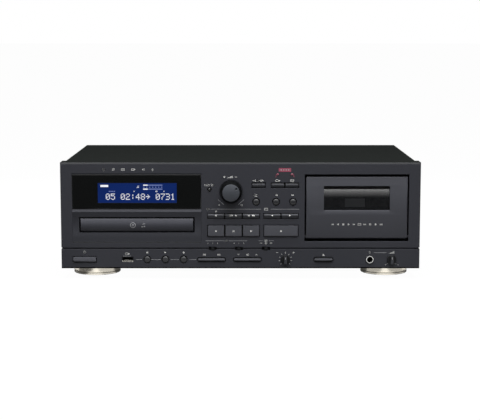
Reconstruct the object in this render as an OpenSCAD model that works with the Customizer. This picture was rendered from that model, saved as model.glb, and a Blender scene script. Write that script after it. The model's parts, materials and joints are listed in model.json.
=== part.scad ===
// Full-width audio component with a disc drawer, a cassette door and a memory-stick socket.
// Millimetres. +X is to the right as seen from the front, the front faces -Y, +Z is up.
// The origin is on the table, under the middle of the part's box.
// Heights on the front panel are above its lower edge. A place across the lower row is a share of the
// panel's width from its left end, and one in the middle field a share of the space from the display
// window to the cassette door.

/* [Cabinet] */
// Width of the front panel
panel_w = 435; // [428:1:450]
// Height of the front panel
panel_h = 129.4; // [126:0.1:140]
// Depth of the front panel, from its face to its rear edge
panel_d = 24; // [22:1:27]
// Thickness of the front panel's face
panel_wall = 5; // [4.6:0.1:6]
// Thickness of the front panel's edges
panel_edge = 2.6; // [2.4:0.1:4]
// Bevel along the top front edge of the panel
top_bevel = 2; // [1:0.1:3]
// Bevel along the other front edges of the panel
side_bevel = 1.6; // [0.8:0.1:2]
// Depth of the cabinet, from the panel's face to its back
body_d = 265; // [258:1:320]
// Thickness of the steel sheet
sheet = 1.2; // [1:0.1:1.6]
// How far the cover sits inside the panel's outline
cover_inset = 1.2; // [0.8:0.1:1.4]
// Outer radius of the cover's folds
fold_r = 3; // [2:0.5:6]
// Play between the cover and the sheets inside it
sheet_play = 0.2; // [0.1:0.05:0.4]

/* [Groove] */
// Height of the groove's middle on the panel
groove_z = 24.8; // [24:0.1:26]
// Height of the groove
groove_h = 1.7; // [1:0.1:2.4]
// Depth of the groove in the panel's face
groove_depth = 2.6; // [1.5:0.1:3]
// Depth of the groove in the panel's ends
groove_end = 1.2; // [0.5:0.1:1.5]

/* [Feet] */
// Height of a foot
foot_h = 13; // [9:0.5:20]
// Diameter of a foot
foot_d = 58; // [40:0.1:60]
// From the panel's end to the middle of a foot
foot_from_end = 37.9; // [34:0.1:50]
// From the panel's face to the middle of a front foot
foot_from_front = 55.6; // [52:0.1:70]
// From the back to the middle of a rear foot
foot_from_back = 42; // [36:1:60]

/* [Display] */
// From the panel's ends to the display window and to the door's opening
side_margin = 14; // [10:0.1:20]
// Place of the display window up the panel
window_z = 94.4; // [94.4:0.1:95]
// Width of the display window
window_w = 156.2; // [150:0.1:158]
// Height of the display window
window_h = 42.9; // [39:0.1:43.2]
// Depth of the window's seat in the panel
window_seat = 2; // [1.5:0.1:2.5]
// How far the window stands out of the panel
window_proud = 0.3; // [0.2:0.1:1]
// Bevel round the front of the window
window_bevel = 0.8; // [0.4:0.1:1]
// Width of the lit part of the LCD
lcd_w = 95.5; // [80:0.1:104]
// Height of the lit part of the LCD
lcd_h = 24.3; // [20:0.1:27]
// How far the LCD sits right of the window's middle
lcd_shift = 0.8; // [-5:0.1:5]
// Place of the LCD up the panel
lcd_z = 92.5; // [91:0.1:94]
// Width of the LCD's frame round the lit part
lcd_frame = 5; // [3:0.5:6]
// Depth of the LCD's frame behind the panel
lcd_depth = 6; // [4:0.5:8]

/* [Disc drawer] */
// Place of the drawer's middle up the panel
drawer_z = 53.6; // [53:0.1:54.5]
// Width of the drawer's front
drawer_w = 136.4; // [134:0.1:138]
// Height of the drawer's front
drawer_h = 16.6; // [16:0.1:17.5]
// Thickness of the drawer's front
drawer_t = 7.4; // [6.5:0.1:8]
// How far the middle of the drawer's front stands out of the panel
drawer_proud = 0.8; // [0.2:0.1:1]
// How far the middle of the drawer's front swells past its edges
drawer_crown = 1.8; // [0.4:0.1:2]
// Gap beside the drawer's front
drawer_gap_x = 1.6; // [1:0.1:2]
// Gap above and below the drawer's front
drawer_gap_z = 1.2; // [0.8:0.1:1.6]
// Depth of the recess round the drawer
recess_depth = 1; // [0.6:0.1:1.5]
// Lower edge of the recess round the drawer
recess_low = 31.8; // [30:0.1:36]
// Height of the bright ledge between the window and the recess
ledge_h = 3.2; // [2:0.1:4]
// How far the ledge stands out of the panel
ledge_proud = 0.7; // [0.3:0.1:1]
// Width of the tray
tray_w = 128; // [126:0.5:130]
// Length of the tray behind the drawer's front
tray_l = 166; // [164:1:172]
// Thickness of the tray
tray_t = 5.5; // [5.2:0.1:6]
// How far the tray comes out
tray_travel = 136; // [110:1:136]
// Diameter of the tray's disc recess
disc_seat_d = 122; // [121:0.5:123]
// Depth of the tray's disc recess
disc_seat_depth = 3; // [2.5:0.1:3.2]
// Diameter of the tray's inner recess for small discs
small_seat_d = 82; // [81:0.5:84]
// Depth of the inner recess below the outer one
small_seat_depth = 1; // [0.5:0.1:1.2]
// Width of the tray's slot for the turntable and the sled
tray_slot_w = 40; // [38:0.5:42]
// Play of the tray in its rails
tray_play = 0.4; // [0.3:0.05:0.6]

/* [Disc loader] */
// Wall of the loader's frame
loader_wall = 2.5; // [2:0.1:3]
// Length of the loader's frame
loader_l = 172; // [168:1:180]
// From the panel's face to the loader's frame
loader_front = 9; // [8.5:0.1:11]
// Module of the loading gear and of the rack
gear_module = 1.25; // [1.25:0.05:1.4]
// Teeth of the loading gear
gear_teeth = 20; // [18:1:20]
// Play between the teeth
tooth_play = 0.25; // [0.15:0.05:0.4]
// Thickness of the loading gear
gear_t = 4; // [3:0.5:4]
// Radius of the gear's pin
gear_pin_r = 2.5; // [2:0.1:4]
// Radius of the turntable
turntable_r = 15; // [12:0.5:16]
// Radius of the disc's hole that the turntable's hub fits
hub_r = 7.4; // [7:0.1:7.5]
// Radius of the turntable's motor
spindle_motor_r = 11; // [9:0.5:12]
// Radius of the disc clamp's lower part
clamp_r = 10; // [8:0.5:12]
// How far the laser sled travels
sled_travel = 35; // [25:1:35]
// Radius of the sled's rods
rod_r = 1.5; // [1:0.1:2]

/* [Cassette door] */
// Lower edge of the door on the panel
door_low = 36.5; // [36:0.1:38]
// Width of the door
door_w = 122.3; // [116:0.1:124]
// Height of the door
door_h = 75.9; // [74:0.1:78]
// Thickness of the door
door_t = 6.5; // [6:0.1:7]
// How far the door stands out of the panel
door_proud = 1.2; // [0.6:0.1:1.4]
// How far the middle of the door swells past its edges
door_crown = 2.4; // [0.4:0.1:2.6]
// Bevel round the front of the door
door_bevel = 1.2; // [0.8:0.1:1.5]
// Gap beside the door
door_gap_x = 1.8; // [1.2:0.1:2.2]
// Gap above the door
door_gap_top = 2.6; // [2:0.1:3]
// Gap below the door
door_gap_low = 3.4; // [3.2:0.1:3.8]
// Depth of the hinge pins behind the panel's face
hinge_depth = 6; // [5.5:0.1:6.5]
// Height of the hinge pins above the door's lower edge
hinge_rise = 2.2; // [2.2:0.1:3]
// Radius of the hinge pins
hinge_r = 2; // [1.5:0.1:2.1]
// Width of the door's window
pane_w = 79.6; // [70:0.1:90]
// Lower edge of the door's window above the door's lower edge
pane_low = 34.9; // [33:0.1:36]
// Height of the door's window
pane_h = 29.4; // [24:0.1:31]
// Depth of the pane behind the panel's face
pane_set = 2; // [1.6:0.1:2.5]
// Height of the sloping sill below the door's window
sill_h = 4.1; // [2:0.1:5]
// How far the sill falls back towards the pane
sill_fall = 0.8; // [0.4:0.1:1.5]
// Height of the pane's rolled upper part
pane_roll = 10.3; // [8:0.1:12]
// How far the pane's rolled part falls back
pane_fall = 2; // [1:0.1:3]
// Thickness of the pane's rim behind the door
pane_rim_t = 1.5; // [1:0.1:2]
// Width of the pane's rim round the window
pane_rim = 2.5; // [1.5:0.1:3]

/* [Cassette] */
// Width of a cassette
cassette_w = 100.4; // [100:0.1:102]
// Height of a cassette
cassette_h = 63.8; // [63:0.1:65]
// Thickness of a cassette at its head edge
cassette_t = 12; // [11.5:0.1:12.5]
// Lower edge of a loaded cassette above the door's lower edge
cassette_rise = 9.5; // [9:0.1:10.5]
// Distance between the two reel hubs
reel_pitch = 42.5; // [42:0.1:43]
// Height of the reel hubs above the cassette's lower edge
reel_rise = 34; // [32:0.5:36]
// Play of a cassette in its holder
cassette_play = 1; // [0.6:0.1:1.2]
// Wall of the cassette holder
holder_wall = 1.5; // [1.2:0.1:2]
// Width of the holder's rear lips
holder_lip = 6; // [4:0.5:8]
// Distance between the two capstans
capstan_pitch = 68; // [64:0.5:72]
// Height of the capstans above the cassette's lower edge
capstan_rise = 7; // [6:0.5:8]
// Radius of a capstan
capstan_r = 1; // [1:0.1:1.5]
// Radius of a flywheel
flywheel_r = 22; // [18:0.5:28]
// How far the head bridge rises
head_travel = 6; // [4:0.5:6]
// Depth of the tape frame's plate behind the panel's face
plate_depth = 30; // [29:0.5:34]
// Thickness of the tape frame's plate
plate_t = 2; // [1.6:0.1:3]
// Wall of the well round the cassette holder
well_wall = 1.5; // [1.2:0.1:2]

/* [Keys] */
// Clear gap round a key in its opening
key_gap = 0.8; // [0.5:0.05:0.9]
// Travel of a key or button
key_travel = 1.2; // [0.6:0.1:1.5]
// How far a key stands out of the panel
key_proud = 1.4; // [0.8:0.1:2]
// Play between a key's flange and the panel
key_play = 0.3; // [0.2:0.05:0.5]
// Thickness of a key's flange
flange_t = 1.2; // [0.8:0.1:1.5]
// Overlap of a key's flange behind the panel
flange_lip = 1; // [0.6:0.1:1.2]
// Space between two keys in a row
key_space = 1.75; // [1:0.05:2.5]
// Distance between the middles of two keys, as a share of the middle field
key_step = 0.1701; // [0.165:0.0001:0.172]
// Place of the first disc key in the middle field
disc_keys_at = 0.1417; // [0.14:0.0001:0.15]
// Place of the first tape key in the middle field
tape_keys_at = 0.6862; // [0.68:0.0001:0.69]
// Height of the slim keys' row on the panel
slim_z = 64.2; // [63:0.1:66]
// Height of a slim key
slim_h = 5.6; // [4.5:0.1:6.2]
// Height of the large keys' row on the panel
large_z = 46.1; // [45:0.1:47]
// Height of a large key
large_h = 13.4; // [11:0.1:15]
// Height of the source and record keys' row on the panel
upper_z = 101.6; // [100:0.1:103]
// Height of the source and record keys
upper_h = 5.4; // [4:0.1:6]
// How much deeper the source and record keys sit than the others
upper_set = 1.6; // [1.4:0.1:2]
// Place of the source key in the middle field
source_at = 0.554; // [0.54:0.001:0.57]
// Place of the first record key in the middle field
record_at = 0.739; // [0.73:0.001:0.745]
// Distance between the two record keys, as a share of the middle field
record_step = 0.1369; // [0.13:0.0001:0.14]
// Height of the record lamps on the panel
lamp_z = 114.9; // [113:0.1:118]
// Radius of a record lamp
lamp_r = 1.3; // [1:0.1:1.6]

/* [Round buttons] */
// Radius of a round button
button_r = 3.65; // [3:0.05:4]
// Clear gap round a round button
button_gap = 1; // [0.6:0.1:1.2]
// How far a round button stands out of the panel
button_proud = 1.2; // [0.6:0.1:2]
// Height of the repeat, rewind and forward buttons on the panel
tape_button_z = 81.6; // [80:0.1:83]
// Place of the repeat button in the middle field
repeat_at = 0.53; // [0.5:0.001:0.56]
// Place of the rewind button in the middle field
rewind_at = 0.723; // [0.7:0.001:0.74]
// Place of the forward button in the middle field
forward_at = 0.8863; // [0.87:0.0001:0.9]
// Radius of the counter reset button
reset_r = 1.6; // [1.2:0.1:2]
// Place of the counter reset button in the middle field
reset_at = 0.0777; // [0.07:0.0001:0.1]
// Height of the counter reset button on the panel
reset_z = 96.7; // [95:0.1:99]

/* [Knobs] */
// How far the level knob stands out of the panel
knob_proud = 12; // [8:0.5:16]
// Radius of the level knob's face
knob_face_r = 11.2; // [9:0.1:12]
// Radius of the level knob's skirt
knob_skirt_r = 13; // [12:0.1:13.5]
// Radius of the dish round the level knob
dish_r = 14.5; // [14:0.1:15.5]
// Depth of the dish round the level knob
dish_depth = 1.5; // [0.8:0.1:2]
// Place of the level knob in the middle field
level_at = 0.2874; // [0.27:0.0001:0.3]
// Height of the level knob on the panel
level_z = 93.9; // [92:0.1:95]
// Radius of the two small knobs
small_knob_r = 5.7; // [4.5:0.1:6.2]
// How far the small knobs stand out of the panel
small_knob_proud = 8; // [5:0.5:10]
// Radius of a knob's shaft
shaft_r = 3; // [2:0.1:3.2]
// Play of a shaft in its bearing
shaft_play = 0.08; // [0.05:0.01:0.1]

/* [Lower row] */
// Height of the lower row on the panel
lower_z = 11.2; // [10.5:0.1:12]
// Place of the power button across the panel
power_at = 0.0653; // [0.06:0.0001:0.075]
// Width of the power button
power_w = 27.6; // [20:0.1:30]
// Height of the power button
power_h = 6.2; // [5:0.1:7]
// Travel of the power button
power_travel = 2.6; // [1.5:0.1:2.8]
// Place of the memory-stick socket across the panel
stick_at = 0.1851; // [0.17:0.0001:0.2]
// Width of the memory-stick socket's shell
stick_w = 13.1; // [12.8:0.1:13.4]
// Height of the memory-stick socket's shell
stick_h = 5.7; // [5.5:0.1:6]
// Place of the first playback button across the panel
play_at = 0.2398; // [0.23:0.0001:0.25]
// Distance between two playback buttons, as a share of the panel's width
play_step = 0.0508; // [0.045:0.0001:0.053]
// Width of a rocker
rocker_w = 33.6; // [28:0.1:34]
// Height of a rocker and of the eject button
rocker_h = 4.2; // [3.6:0.1:5]
// Tilt of a rocker each way, in degrees
rocker_tilt = 3; // [1:0.5:3]
// Place of the skip rocker across the panel
skip_at = 0.4193; // [0.415:0.0001:0.422]
// Place of the volume rocker across the panel
volume_at = 0.5195; // [0.515:0.0001:0.53]
// Place of the pitch knob across the panel
pitch_at = 0.6253; // [0.62:0.0001:0.66]
// Place of the eject button across the panel
eject_at = 0.7315; // [0.7:0.0001:0.74]
// Width of the eject button
eject_w = 22.8; // [18:0.1:26]
// Place of the microphone jack across the panel
jack_at = 0.8609; // [0.84:0.0001:0.87]
// Radius of the microphone jack's bore
jack_r = 3.25; // [3.2:0.01:3.4]
// Radius of the microphone jack's rim
jack_rim_r = 4.9; // [4.8:0.1:5.5]
// Place of the microphone level knob across the panel
mic_at = 0.9216; // [0.91:0.0001:0.93]

/* [Slide switches] */
// Place of the start switch in the middle field
start_at = 0.1097; // [0.1:0.0001:0.13]
// Place of the timer switch in the middle field
timer_at = 0.3635; // [0.34:0.0001:0.38]
// Place of the reverse switch in the middle field
reverse_at = 0.6269; // [0.6:0.0001:0.65]
// Width of a switch's notch in the panel
notch_w = 9.8; // [9:0.1:11]
// Height of a switch's notch in the panel
notch_h = 4.2; // [3.6:0.1:5]
// Width of a switch's lever
lever_w = 3.5; // [2.5:0.1:3.8]
// Travel of a switch each way
switch_travel = 2.5; // [1.5:0.1:2.5]

/* [Rear] */
// How far the line sockets stand out of the back
socket_proud = 8; // [6:0.5:10]
// Radius of a line socket's barrel
socket_r = 4.15; // [4.1:0.01:4.2]
// Distance between two line sockets
socket_pitch = 18; // [15:0.5:22]
// Distance of the line sockets from the panel's right end
sockets_from_end = 97.5; // [67.5:0.5:157.5]
// Distance of the mains inlet from the panel's left end
inlet_from_end = 52.5; // [37.5:0.5:97.5]

/* [Boards] */
// Thickness of a circuit board
board_t = 1.6; // [1.2:0.1:2]
// From the panel's face wall to the control board
board_gap = 9; // [8.5:0.1:10]
// Height of the push switches on the control board
tact_h = 3.5; // [3:0.1:4]

/* [Hidden] */
$fn = 48;

charcoal = "#35363b";
key_grey = "#44454a";
gloss_black = "#121314";
steel_black = "#262827";
zinc = "#9a9c9e";
nickel = "#c8c8c6";
champagne = "#b5b1a5";
dark_plastic = "#222326";
board_green = "#2f5a3c";
lcd_blue = "#19285c";
lamp_red = "#c02018";
smoke = "#1b1c20";
copper = "#8a5a3a";

eps = 0.01;
front_y = (knob_proud - body_d - socket_proud) / 2;
cover_w = panel_w - 2 * cover_inset;
cover_top = panel_h - cover_inset;
inner_w = cover_w - 2 * sheet - 2 * sheet_play;
inner_top = cover_top - sheet - sheet_play;
foot_x = panel_w / 2 - foot_from_end;
sockets_x = panel_w / 2 - sockets_from_end;
inlet_x = inlet_from_end - panel_w / 2;

window_x = side_margin + (window_w - panel_w) / 2;
lcd_x = window_x + lcd_shift;
drawer_x = window_x;
door_open_w = door_w + 2 * door_gap_x;
door_x = (panel_w - door_open_w) / 2 - side_margin;
field_left = window_x + window_w / 2;
field_w = door_x - door_open_w / 2 - field_left;
function field(share) = field_left + share * field_w;
function along(share) = (share - 0.5) * panel_w;

foot_ys = [foot_from_front, body_d - foot_from_back];

flange_depth = panel_wall + key_play;
board_depth = panel_wall + board_gap;
tact_depth = board_depth - tact_h;
contact_play = 0.3;
tact_w = 6;
key_stem = 3;
board_left = field_left + 3.3;
board_right = door_x - door_open_w / 2 - well_wall - 1.1;
board_reach = panel_w / 2 - 9.5;

key_pitch = key_step * field_w;
key_w = key_pitch - key_space;
upper_w = record_step * field_w - key_space;
disc_x = [for (i = [0:2]) field(disc_keys_at + i * key_step)];
tape_x = [for (i = [0:1]) field(tape_keys_at + i * key_step)];
wide_key_x = field(tape_keys_at + key_step / 2);
wide_key_w = key_pitch + key_w;
source_x = field(source_at);
record_xs = [field(record_at), field(record_at + record_step)];
level_x = field(level_at);
reset_x = field(reset_at);
tape_button_xs = [field(repeat_at), field(rewind_at), field(forward_at)];
switch_xs = [field(start_at), field(timer_at), field(reverse_at)];
power_x = along(power_at);
stick_x = along(stick_at);
play_xs = [for (i = [0:2]) along(play_at + i * play_step)];
skip_x = along(skip_at);
volume_x = along(volume_at);
pitch_x = along(pitch_at);
eject_x = along(eject_at);
jack_x = along(jack_at);
mic_x = along(mic_at);

recess_top = window_z - window_h / 2;
slot_w = drawer_w + 2 * drawer_gap_x;
slot_h = drawer_h + 2 * drawer_gap_z;
tray_front_depth = drawer_t - drawer_proud;
tray_rear_depth = tray_front_depth + tray_l;
tray_rise = 4.2;
tray_z = drawer_z - tray_rise;
tray_top = tray_z + tray_t;
disc_depth = tray_front_depth + 6 + disc_seat_d / 2;
loader_floor_z = tray_z - 8;
loader_floor_t = 2;
loader_inner = tray_w / 2 + tray_play;
gear_pitch_r = gear_module * gear_teeth / 2;
gear_z = tray_z - 1 - gear_t;
gear_depth = loader_front + gear_pitch_r + gear_module + 0.8;
rack_x = 44;
rack_h = gear_t;
gear_x = rack_x - gear_pitch_r;
turntable_top = tray_top - disc_seat_depth + 1.1;
turntable_t = 2.5;
spindle_r = 1.25;
hub_h = 3.5;
bridge_z = turntable_top + hub_h + 8.5;
bridge_t = 2.5;
bridge_l = 36;
sled_l = 22;
sled_inner = 23;
sled_w = 42;
rod_x = 17.5;
rod_stand = 4;
rod_z = loader_floor_z + 2.6;
sled_front = disc_depth + sled_inner - 10;
sled_bay = [sled_front - 1, sled_front + sled_l + sled_travel + 1];

door_open_low = door_low - door_gap_low;
door_open_top = door_low + door_h + door_gap_top;
hinge_z = door_low + hinge_rise;
hinge_play = 0.1;
bearing_w = 4;
pane_z = door_low + pane_low;
pane_top = pane_z + pane_h;
cassette_z = door_low + cassette_rise;
pocket_front = door_t + pane_rim_t;
pocket_back = pocket_front + cassette_t + cassette_play + 1.5;
pocket_w = cassette_w + 2 * cassette_play;
holder_top = cassette_z + cassette_h - 8;
reel_z = cassette_z + reel_rise;
capstan_z = cassette_z + capstan_rise;
pinch_r = 5.5;
pinch_z = capstan_z - capstan_r - pinch_r - contact_play - head_travel;
head_top = cassette_z - 1.2;
bridge_plate_t = 2.4;
bridge_depth = plate_depth - 0.4 - bridge_plate_t;
hub_tip = pocket_front + 4;
stand_l = 16;
reel_shaft_r = 1.5;
motor_r = 16;
motor_z = reel_z + 24;
guide_pin_x = 20;
guide_pin_r = 1.5;
guide_pin_z = cassette_z + 4;
rocker_rib_r = 1.5;
rocker_axis = board_depth - 5.5;
rocker_contact = 12;

base_z = 0;
base_top = base_z + sheet;
post_r = 5;
board_post_h = 6;
main_board_x = [-30, panel_w / 2 - 29.5];
main_board_y = [body_d - 115, body_d - 19];
transformer_at = [field(0.46), 86];

// A box between two corners
module box(low, high) translate(low) cube(high - low);

// Moves a shape from the panel's own place to the panel
module on_panel(x = 0, z = 0) translate([x, front_y, foot_h + z]) children();

// Draws an outline in x and z from one depth to another
module along_y(from, to) translate([0, to, 0]) rotate([90, 0, 0]) linear_extrude(to - from) children();

// Draws an outline in depth and z across the panel
module along_x(from, to) translate([from, 0, 0]) rotate([90, 0, 90]) linear_extrude(to - from) children();

// Turns an outline of radius and height out of the panel about a line square to the panel
module turned() rotate([90, 0, 0]) rotate_extrude() children();

// Outline of a rectangle with round corners
function round_rect(w, h, r, steps = 5) = [
    for (corner = [[1, 1, 0], [-1, 1, 90], [-1, -1, 180], [1, -1, 270]])
        for (i = [0:steps])
            let (a = corner[2] + 90 * i / steps)
            [corner[0] * (w / 2 - r) + r * cos(a), corner[1] * (h / 2 - r) + r * sin(a)]];

// Points of an arc about a middle
function arc(middle, r, from, to, steps = 6) = [
    for (i = [0:steps])
        let (a = from + (to - from) * i / steps)
        middle + r * [cos(a), sin(a)]];

// A plate with its four front edges bevelled and its face swelling to the middle by a crown
module bevelled_plate(w, low, high, front, back, bevel, crown = 0) intersection() {
    steps = crown > 0 ? 8 : 1;
    half = (high - low) / 2;
    along_x(-w / 2, w / 2)
        polygon(concat(
            [[back, high], [back, low], [front + crown + bevel, low]],
            [for (i = [0:steps]) let (t = 2 * i / steps - 1)
                [front + crown * t * t, low + half + t * (half - bevel)]],
            [[front + crown + bevel, high]]));
    translate([0, 0, low - 1]) linear_extrude(high - low + 2)
        polygon([[-w / 2 + bevel, front], [w / 2 - bevel, front], [w / 2, front + bevel],
                 [w / 2, back], [-w / 2, back], [-w / 2, front + bevel]]);
}

// Front panel

// The panel's outer block, with its bevels and the hollow behind its face
module panel_shell() difference() {
    intersection() {
        along_x(-panel_w / 2, panel_w / 2)
            polygon([[0, side_bevel], [side_bevel, 0], [panel_d, 0], [panel_d, panel_h],
                     [top_bevel / 2, panel_h], [0, panel_h - top_bevel]]);
        translate([0, 0, -1]) linear_extrude(panel_h + 2)
            polygon([[-panel_w / 2 + side_bevel, 0], [panel_w / 2 - side_bevel, 0],
                     [panel_w / 2, side_bevel], [panel_w / 2, panel_d],
                     [-panel_w / 2, panel_d], [-panel_w / 2, side_bevel]]);
    }
    box([-panel_w / 2 + panel_edge, panel_wall, panel_edge],
        [panel_w / 2 - panel_edge, panel_d + 1, panel_h - panel_edge]);
}

// The cross groove, open at both ends of the panel
module groove_cut() {
    low = groove_z - groove_h / 2;
    high = groove_z + groove_h / 2;
    box([-panel_w / 2 - 1, -1, low], [panel_w / 2 + 1, groove_depth, high]);
    for (side = [-1, 1])
        translate([side * panel_w / 2, 0, 0])
            box([-groove_end, -1, low], [groove_end, panel_d + 1, high]);
}

// The sloped ledge, the surround and the swelling lip below the drawer
module drawer_recess_cut() {
    slot_low = drawer_z - slot_h / 2;
    lip_h = slot_low - recess_low;
    edge = 0.7 * recess_depth;
    translate([window_x, 0, 0]) along_x(-window_w / 2, window_w / 2)
        polygon([[-2, recess_top + eps], [0.5 * recess_depth, recess_top + eps],
                 [-ledge_proud, recess_top - ledge_h], [0.4 * recess_depth, slot_low + slot_h],
                 [recess_depth, slot_low], [0.6 * recess_depth, slot_low - 0.25 * lip_h],
                 [0.6 * recess_depth, slot_low - 0.55 * lip_h], [edge, recess_low + edge],
                 [edge - 2, recess_low + edge - 2], [-2, recess_low + edge - 2]]);
}

// Openings of the keys that share a slot, from the first key's middle to the last one's
module key_slot(first, last, w, z, h)
    box([first - w / 2 - key_gap, -1, z - h / 2 - key_gap],
        [last + w / 2 + key_gap, panel_wall + 1, z + h / 2 + key_gap]);

// A round opening with a small bevel at its mouth
module round_opening(x, z, r) translate([x, 0, z]) turned()
    polygon([[0, 1], [r + 1.4, 1], [r, -0.4], [r, -panel_wall - 1], [0, -panel_wall - 1]]);

// A plain round hole through the panel's face
module face_hole(x, z, r) translate([x, -1, z]) rotate([-90, 0, 0]) cylinder(h = panel_wall + 2, r = r);

// A long opening with round ends
module pill_opening(x, z, w, h)
    translate([x, 0, z]) along_y(-1, panel_wall + 1)
        polygon(round_rect(w + 2 * key_gap, h + 2 * key_gap, h / 2 + key_gap - 0.05));

// Blocks behind the panel with the bores of the door's hinge pins
module door_bearings()
    for (side = [-1, 1])
        translate([door_x + side * (door_open_w / 2 + bearing_w / 2 + 0.2), 0, 0])
            box([-bearing_w / 2, panel_wall - 1, hinge_z - hinge_r - 2.5],
                [bearing_w / 2, hinge_depth + hinge_r + 2.5, hinge_z + hinge_r + 2.5]);

module hinge_bores()
    for (side = [-1, 1])
        translate([door_x + side * (door_open_w / 2 + bearing_w / 2 + 0.2), hinge_depth, hinge_z])
            rotate([0, 90, 0]) cylinder(h = bearing_w + 1, r = hinge_r + hinge_play, center = true);

// Posts that carry the control board
post_places = [[board_left + 3, 116], [board_right - 3, 111], [along(0.1299), lower_z],
               [along(0.5897), lower_z], [along(0.7966), lower_z], [board_left - 13, lower_z + 8.3]];
module board_posts()
    for (place = post_places)
        translate([place[0], panel_wall - 1, place[1]])
            rotate([-90, 0, 0]) cylinder(h = board_depth - panel_wall + 1, r = 2.4);

module front_panel() color(charcoal) on_panel() difference() {
    union() {
        panel_shell();
        translate([window_x, 0, 0])
            box([-window_w / 2, -ledge_proud, drawer_z + slot_h / 2], [window_w / 2, 1, recess_top]);
        door_bearings();
        board_posts();
    }
    groove_cut();
    translate([window_x, 0, window_z])
        box([-window_w / 2, -1, -window_h / 2], [window_w / 2, window_seat, window_h / 2]);
    translate([lcd_x, 0, lcd_z])
        box([-lcd_w / 2 - 2, 0, -lcd_h / 2 - 2], [lcd_w / 2 + 2, panel_wall + 1, lcd_h / 2 + 2]);
    drawer_recess_cut();
    translate([drawer_x, 0, drawer_z])
        box([-slot_w / 2, -1, -slot_h / 2], [slot_w / 2, panel_wall + 1, slot_h / 2]);
    translate([door_x, 0, 0])
        box([-door_open_w / 2, -1, door_open_low], [door_open_w / 2, panel_wall + 1, door_open_top]);
    hinge_bores();
    key_slot(disc_x[0], disc_x[2], key_w, slim_z, slim_h);
    key_slot(tape_x[0], tape_x[1], key_w, slim_z, slim_h);
    key_slot(disc_x[0], disc_x[2], key_w, large_z, large_h);
    key_slot(wide_key_x, wide_key_x, wide_key_w, large_z, large_h);
    key_slot(source_x, source_x, upper_w, upper_z, upper_h);
    key_slot(record_xs[0], record_xs[1], upper_w, upper_z, upper_h);
    key_slot(power_x, power_x, power_w, lower_z, power_h);
    for (x = tape_button_xs) round_opening(x, tape_button_z, button_r + button_gap);
    for (x = play_xs) round_opening(x, lower_z, button_r + button_gap);
    round_opening(reset_x, reset_z, reset_r + button_gap);
    for (x = record_xs) face_hole(x, lamp_z, lamp_r + 0.2);
    translate([level_x, 0, level_z])
        turned() polygon([[0, 1], [dish_r, 1], [dish_r, -dish_depth], [shaft_r + 0.6, -dish_depth],
                          [shaft_r + 0.6, -panel_wall - 1], [0, -panel_wall - 1]]);
    for (x = [pitch_x, mic_x]) face_hole(x, lower_z, shaft_r + 0.6);
    for (x = [skip_x, volume_x]) pill_opening(x, lower_z, rocker_w, rocker_h);
    pill_opening(eject_x, lower_z, eject_w, rocker_h + 0.8);
    translate([stick_x, 0, lower_z])
        box([-stick_w / 2 - 0.4, -1, -stick_h / 2 - 0.4],
            [stick_w / 2 + 0.4, panel_wall + 1, stick_h / 2 + 0.4]);
    face_hole(jack_x, lower_z, jack_rim_r - 0.4);
    for (x = switch_xs)
        translate([x, 0, groove_z])
            box([-notch_w / 2, -1, -notch_h / 2], [notch_w / 2, panel_wall + 1, notch_h / 2]);
}

module display_window() color(gloss_black) on_panel() difference() {
    translate([window_x, 0, 0])
        bevelled_plate(window_w - 0.2, window_z - window_h / 2 + 0.1, window_z + window_h / 2 - 0.7,
                       -window_proud, window_seat, window_bevel);
    translate([lcd_x, 0, lcd_z]) box([-lcd_w / 2, -2, -lcd_h / 2], [lcd_w / 2, panel_wall, lcd_h / 2]);
}

// Lit glass in the window's opening, on a frame behind the panel
module lcd_module() color(lcd_blue) on_panel(lcd_x, lcd_z) {
    glass_play = 0.15;
    box([-lcd_w / 2 + glass_play, 0.2, -lcd_h / 2 + glass_play],
        [lcd_w / 2 - glass_play, panel_wall + 0.5, lcd_h / 2 - glass_play]);
    box([-lcd_w / 2 - lcd_frame, panel_wall, -lcd_h / 2 - lcd_frame],
        [lcd_w / 2 + lcd_frame, panel_wall + lcd_depth, lcd_h / 2 + lcd_frame]);
}

// Cabinet

vent_w = 3;
vent_pitch = 9;
vent_count = 12;

// Folded sheet over the top and both sides, with a row of vents in each side
module top_cover() color(steel_black) on_panel() difference() {
    along_y(panel_d, body_d)
        polygon(concat(
            [[-cover_w / 2, 0]],
            arc([-cover_w / 2 + fold_r, cover_top - fold_r], fold_r, 180, 90),
            arc([cover_w / 2 - fold_r, cover_top - fold_r], fold_r, 90, 0),
            [[cover_w / 2, 0], [cover_w / 2 - sheet, 0]],
            arc([cover_w / 2 - fold_r, cover_top - fold_r], fold_r - sheet, 0, 90),
            arc([-cover_w / 2 + fold_r, cover_top - fold_r], fold_r - sheet, 90, 180),
            [[-cover_w / 2 + sheet, 0]]));
    for (i = [0:vent_count - 1])
        translate([0, body_d - 40 - i * vent_pitch, 0])
            box([-cover_w, -vent_w / 2, 62], [cover_w, vent_w / 2, 92]);
}

loader_posts = [for (x = [-1, 1], y = [36, loader_front + loader_l - 14])
    [drawer_x + x * (loader_inner - 8), y, loader_floor_z - loader_floor_t]];
board_corners = [for (x = main_board_x, y = main_board_y)
    [x + (x < 0 ? 6 : -6), y + (y < body_d - 60 ? 6 : -6), base_top + board_post_h]];

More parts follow.
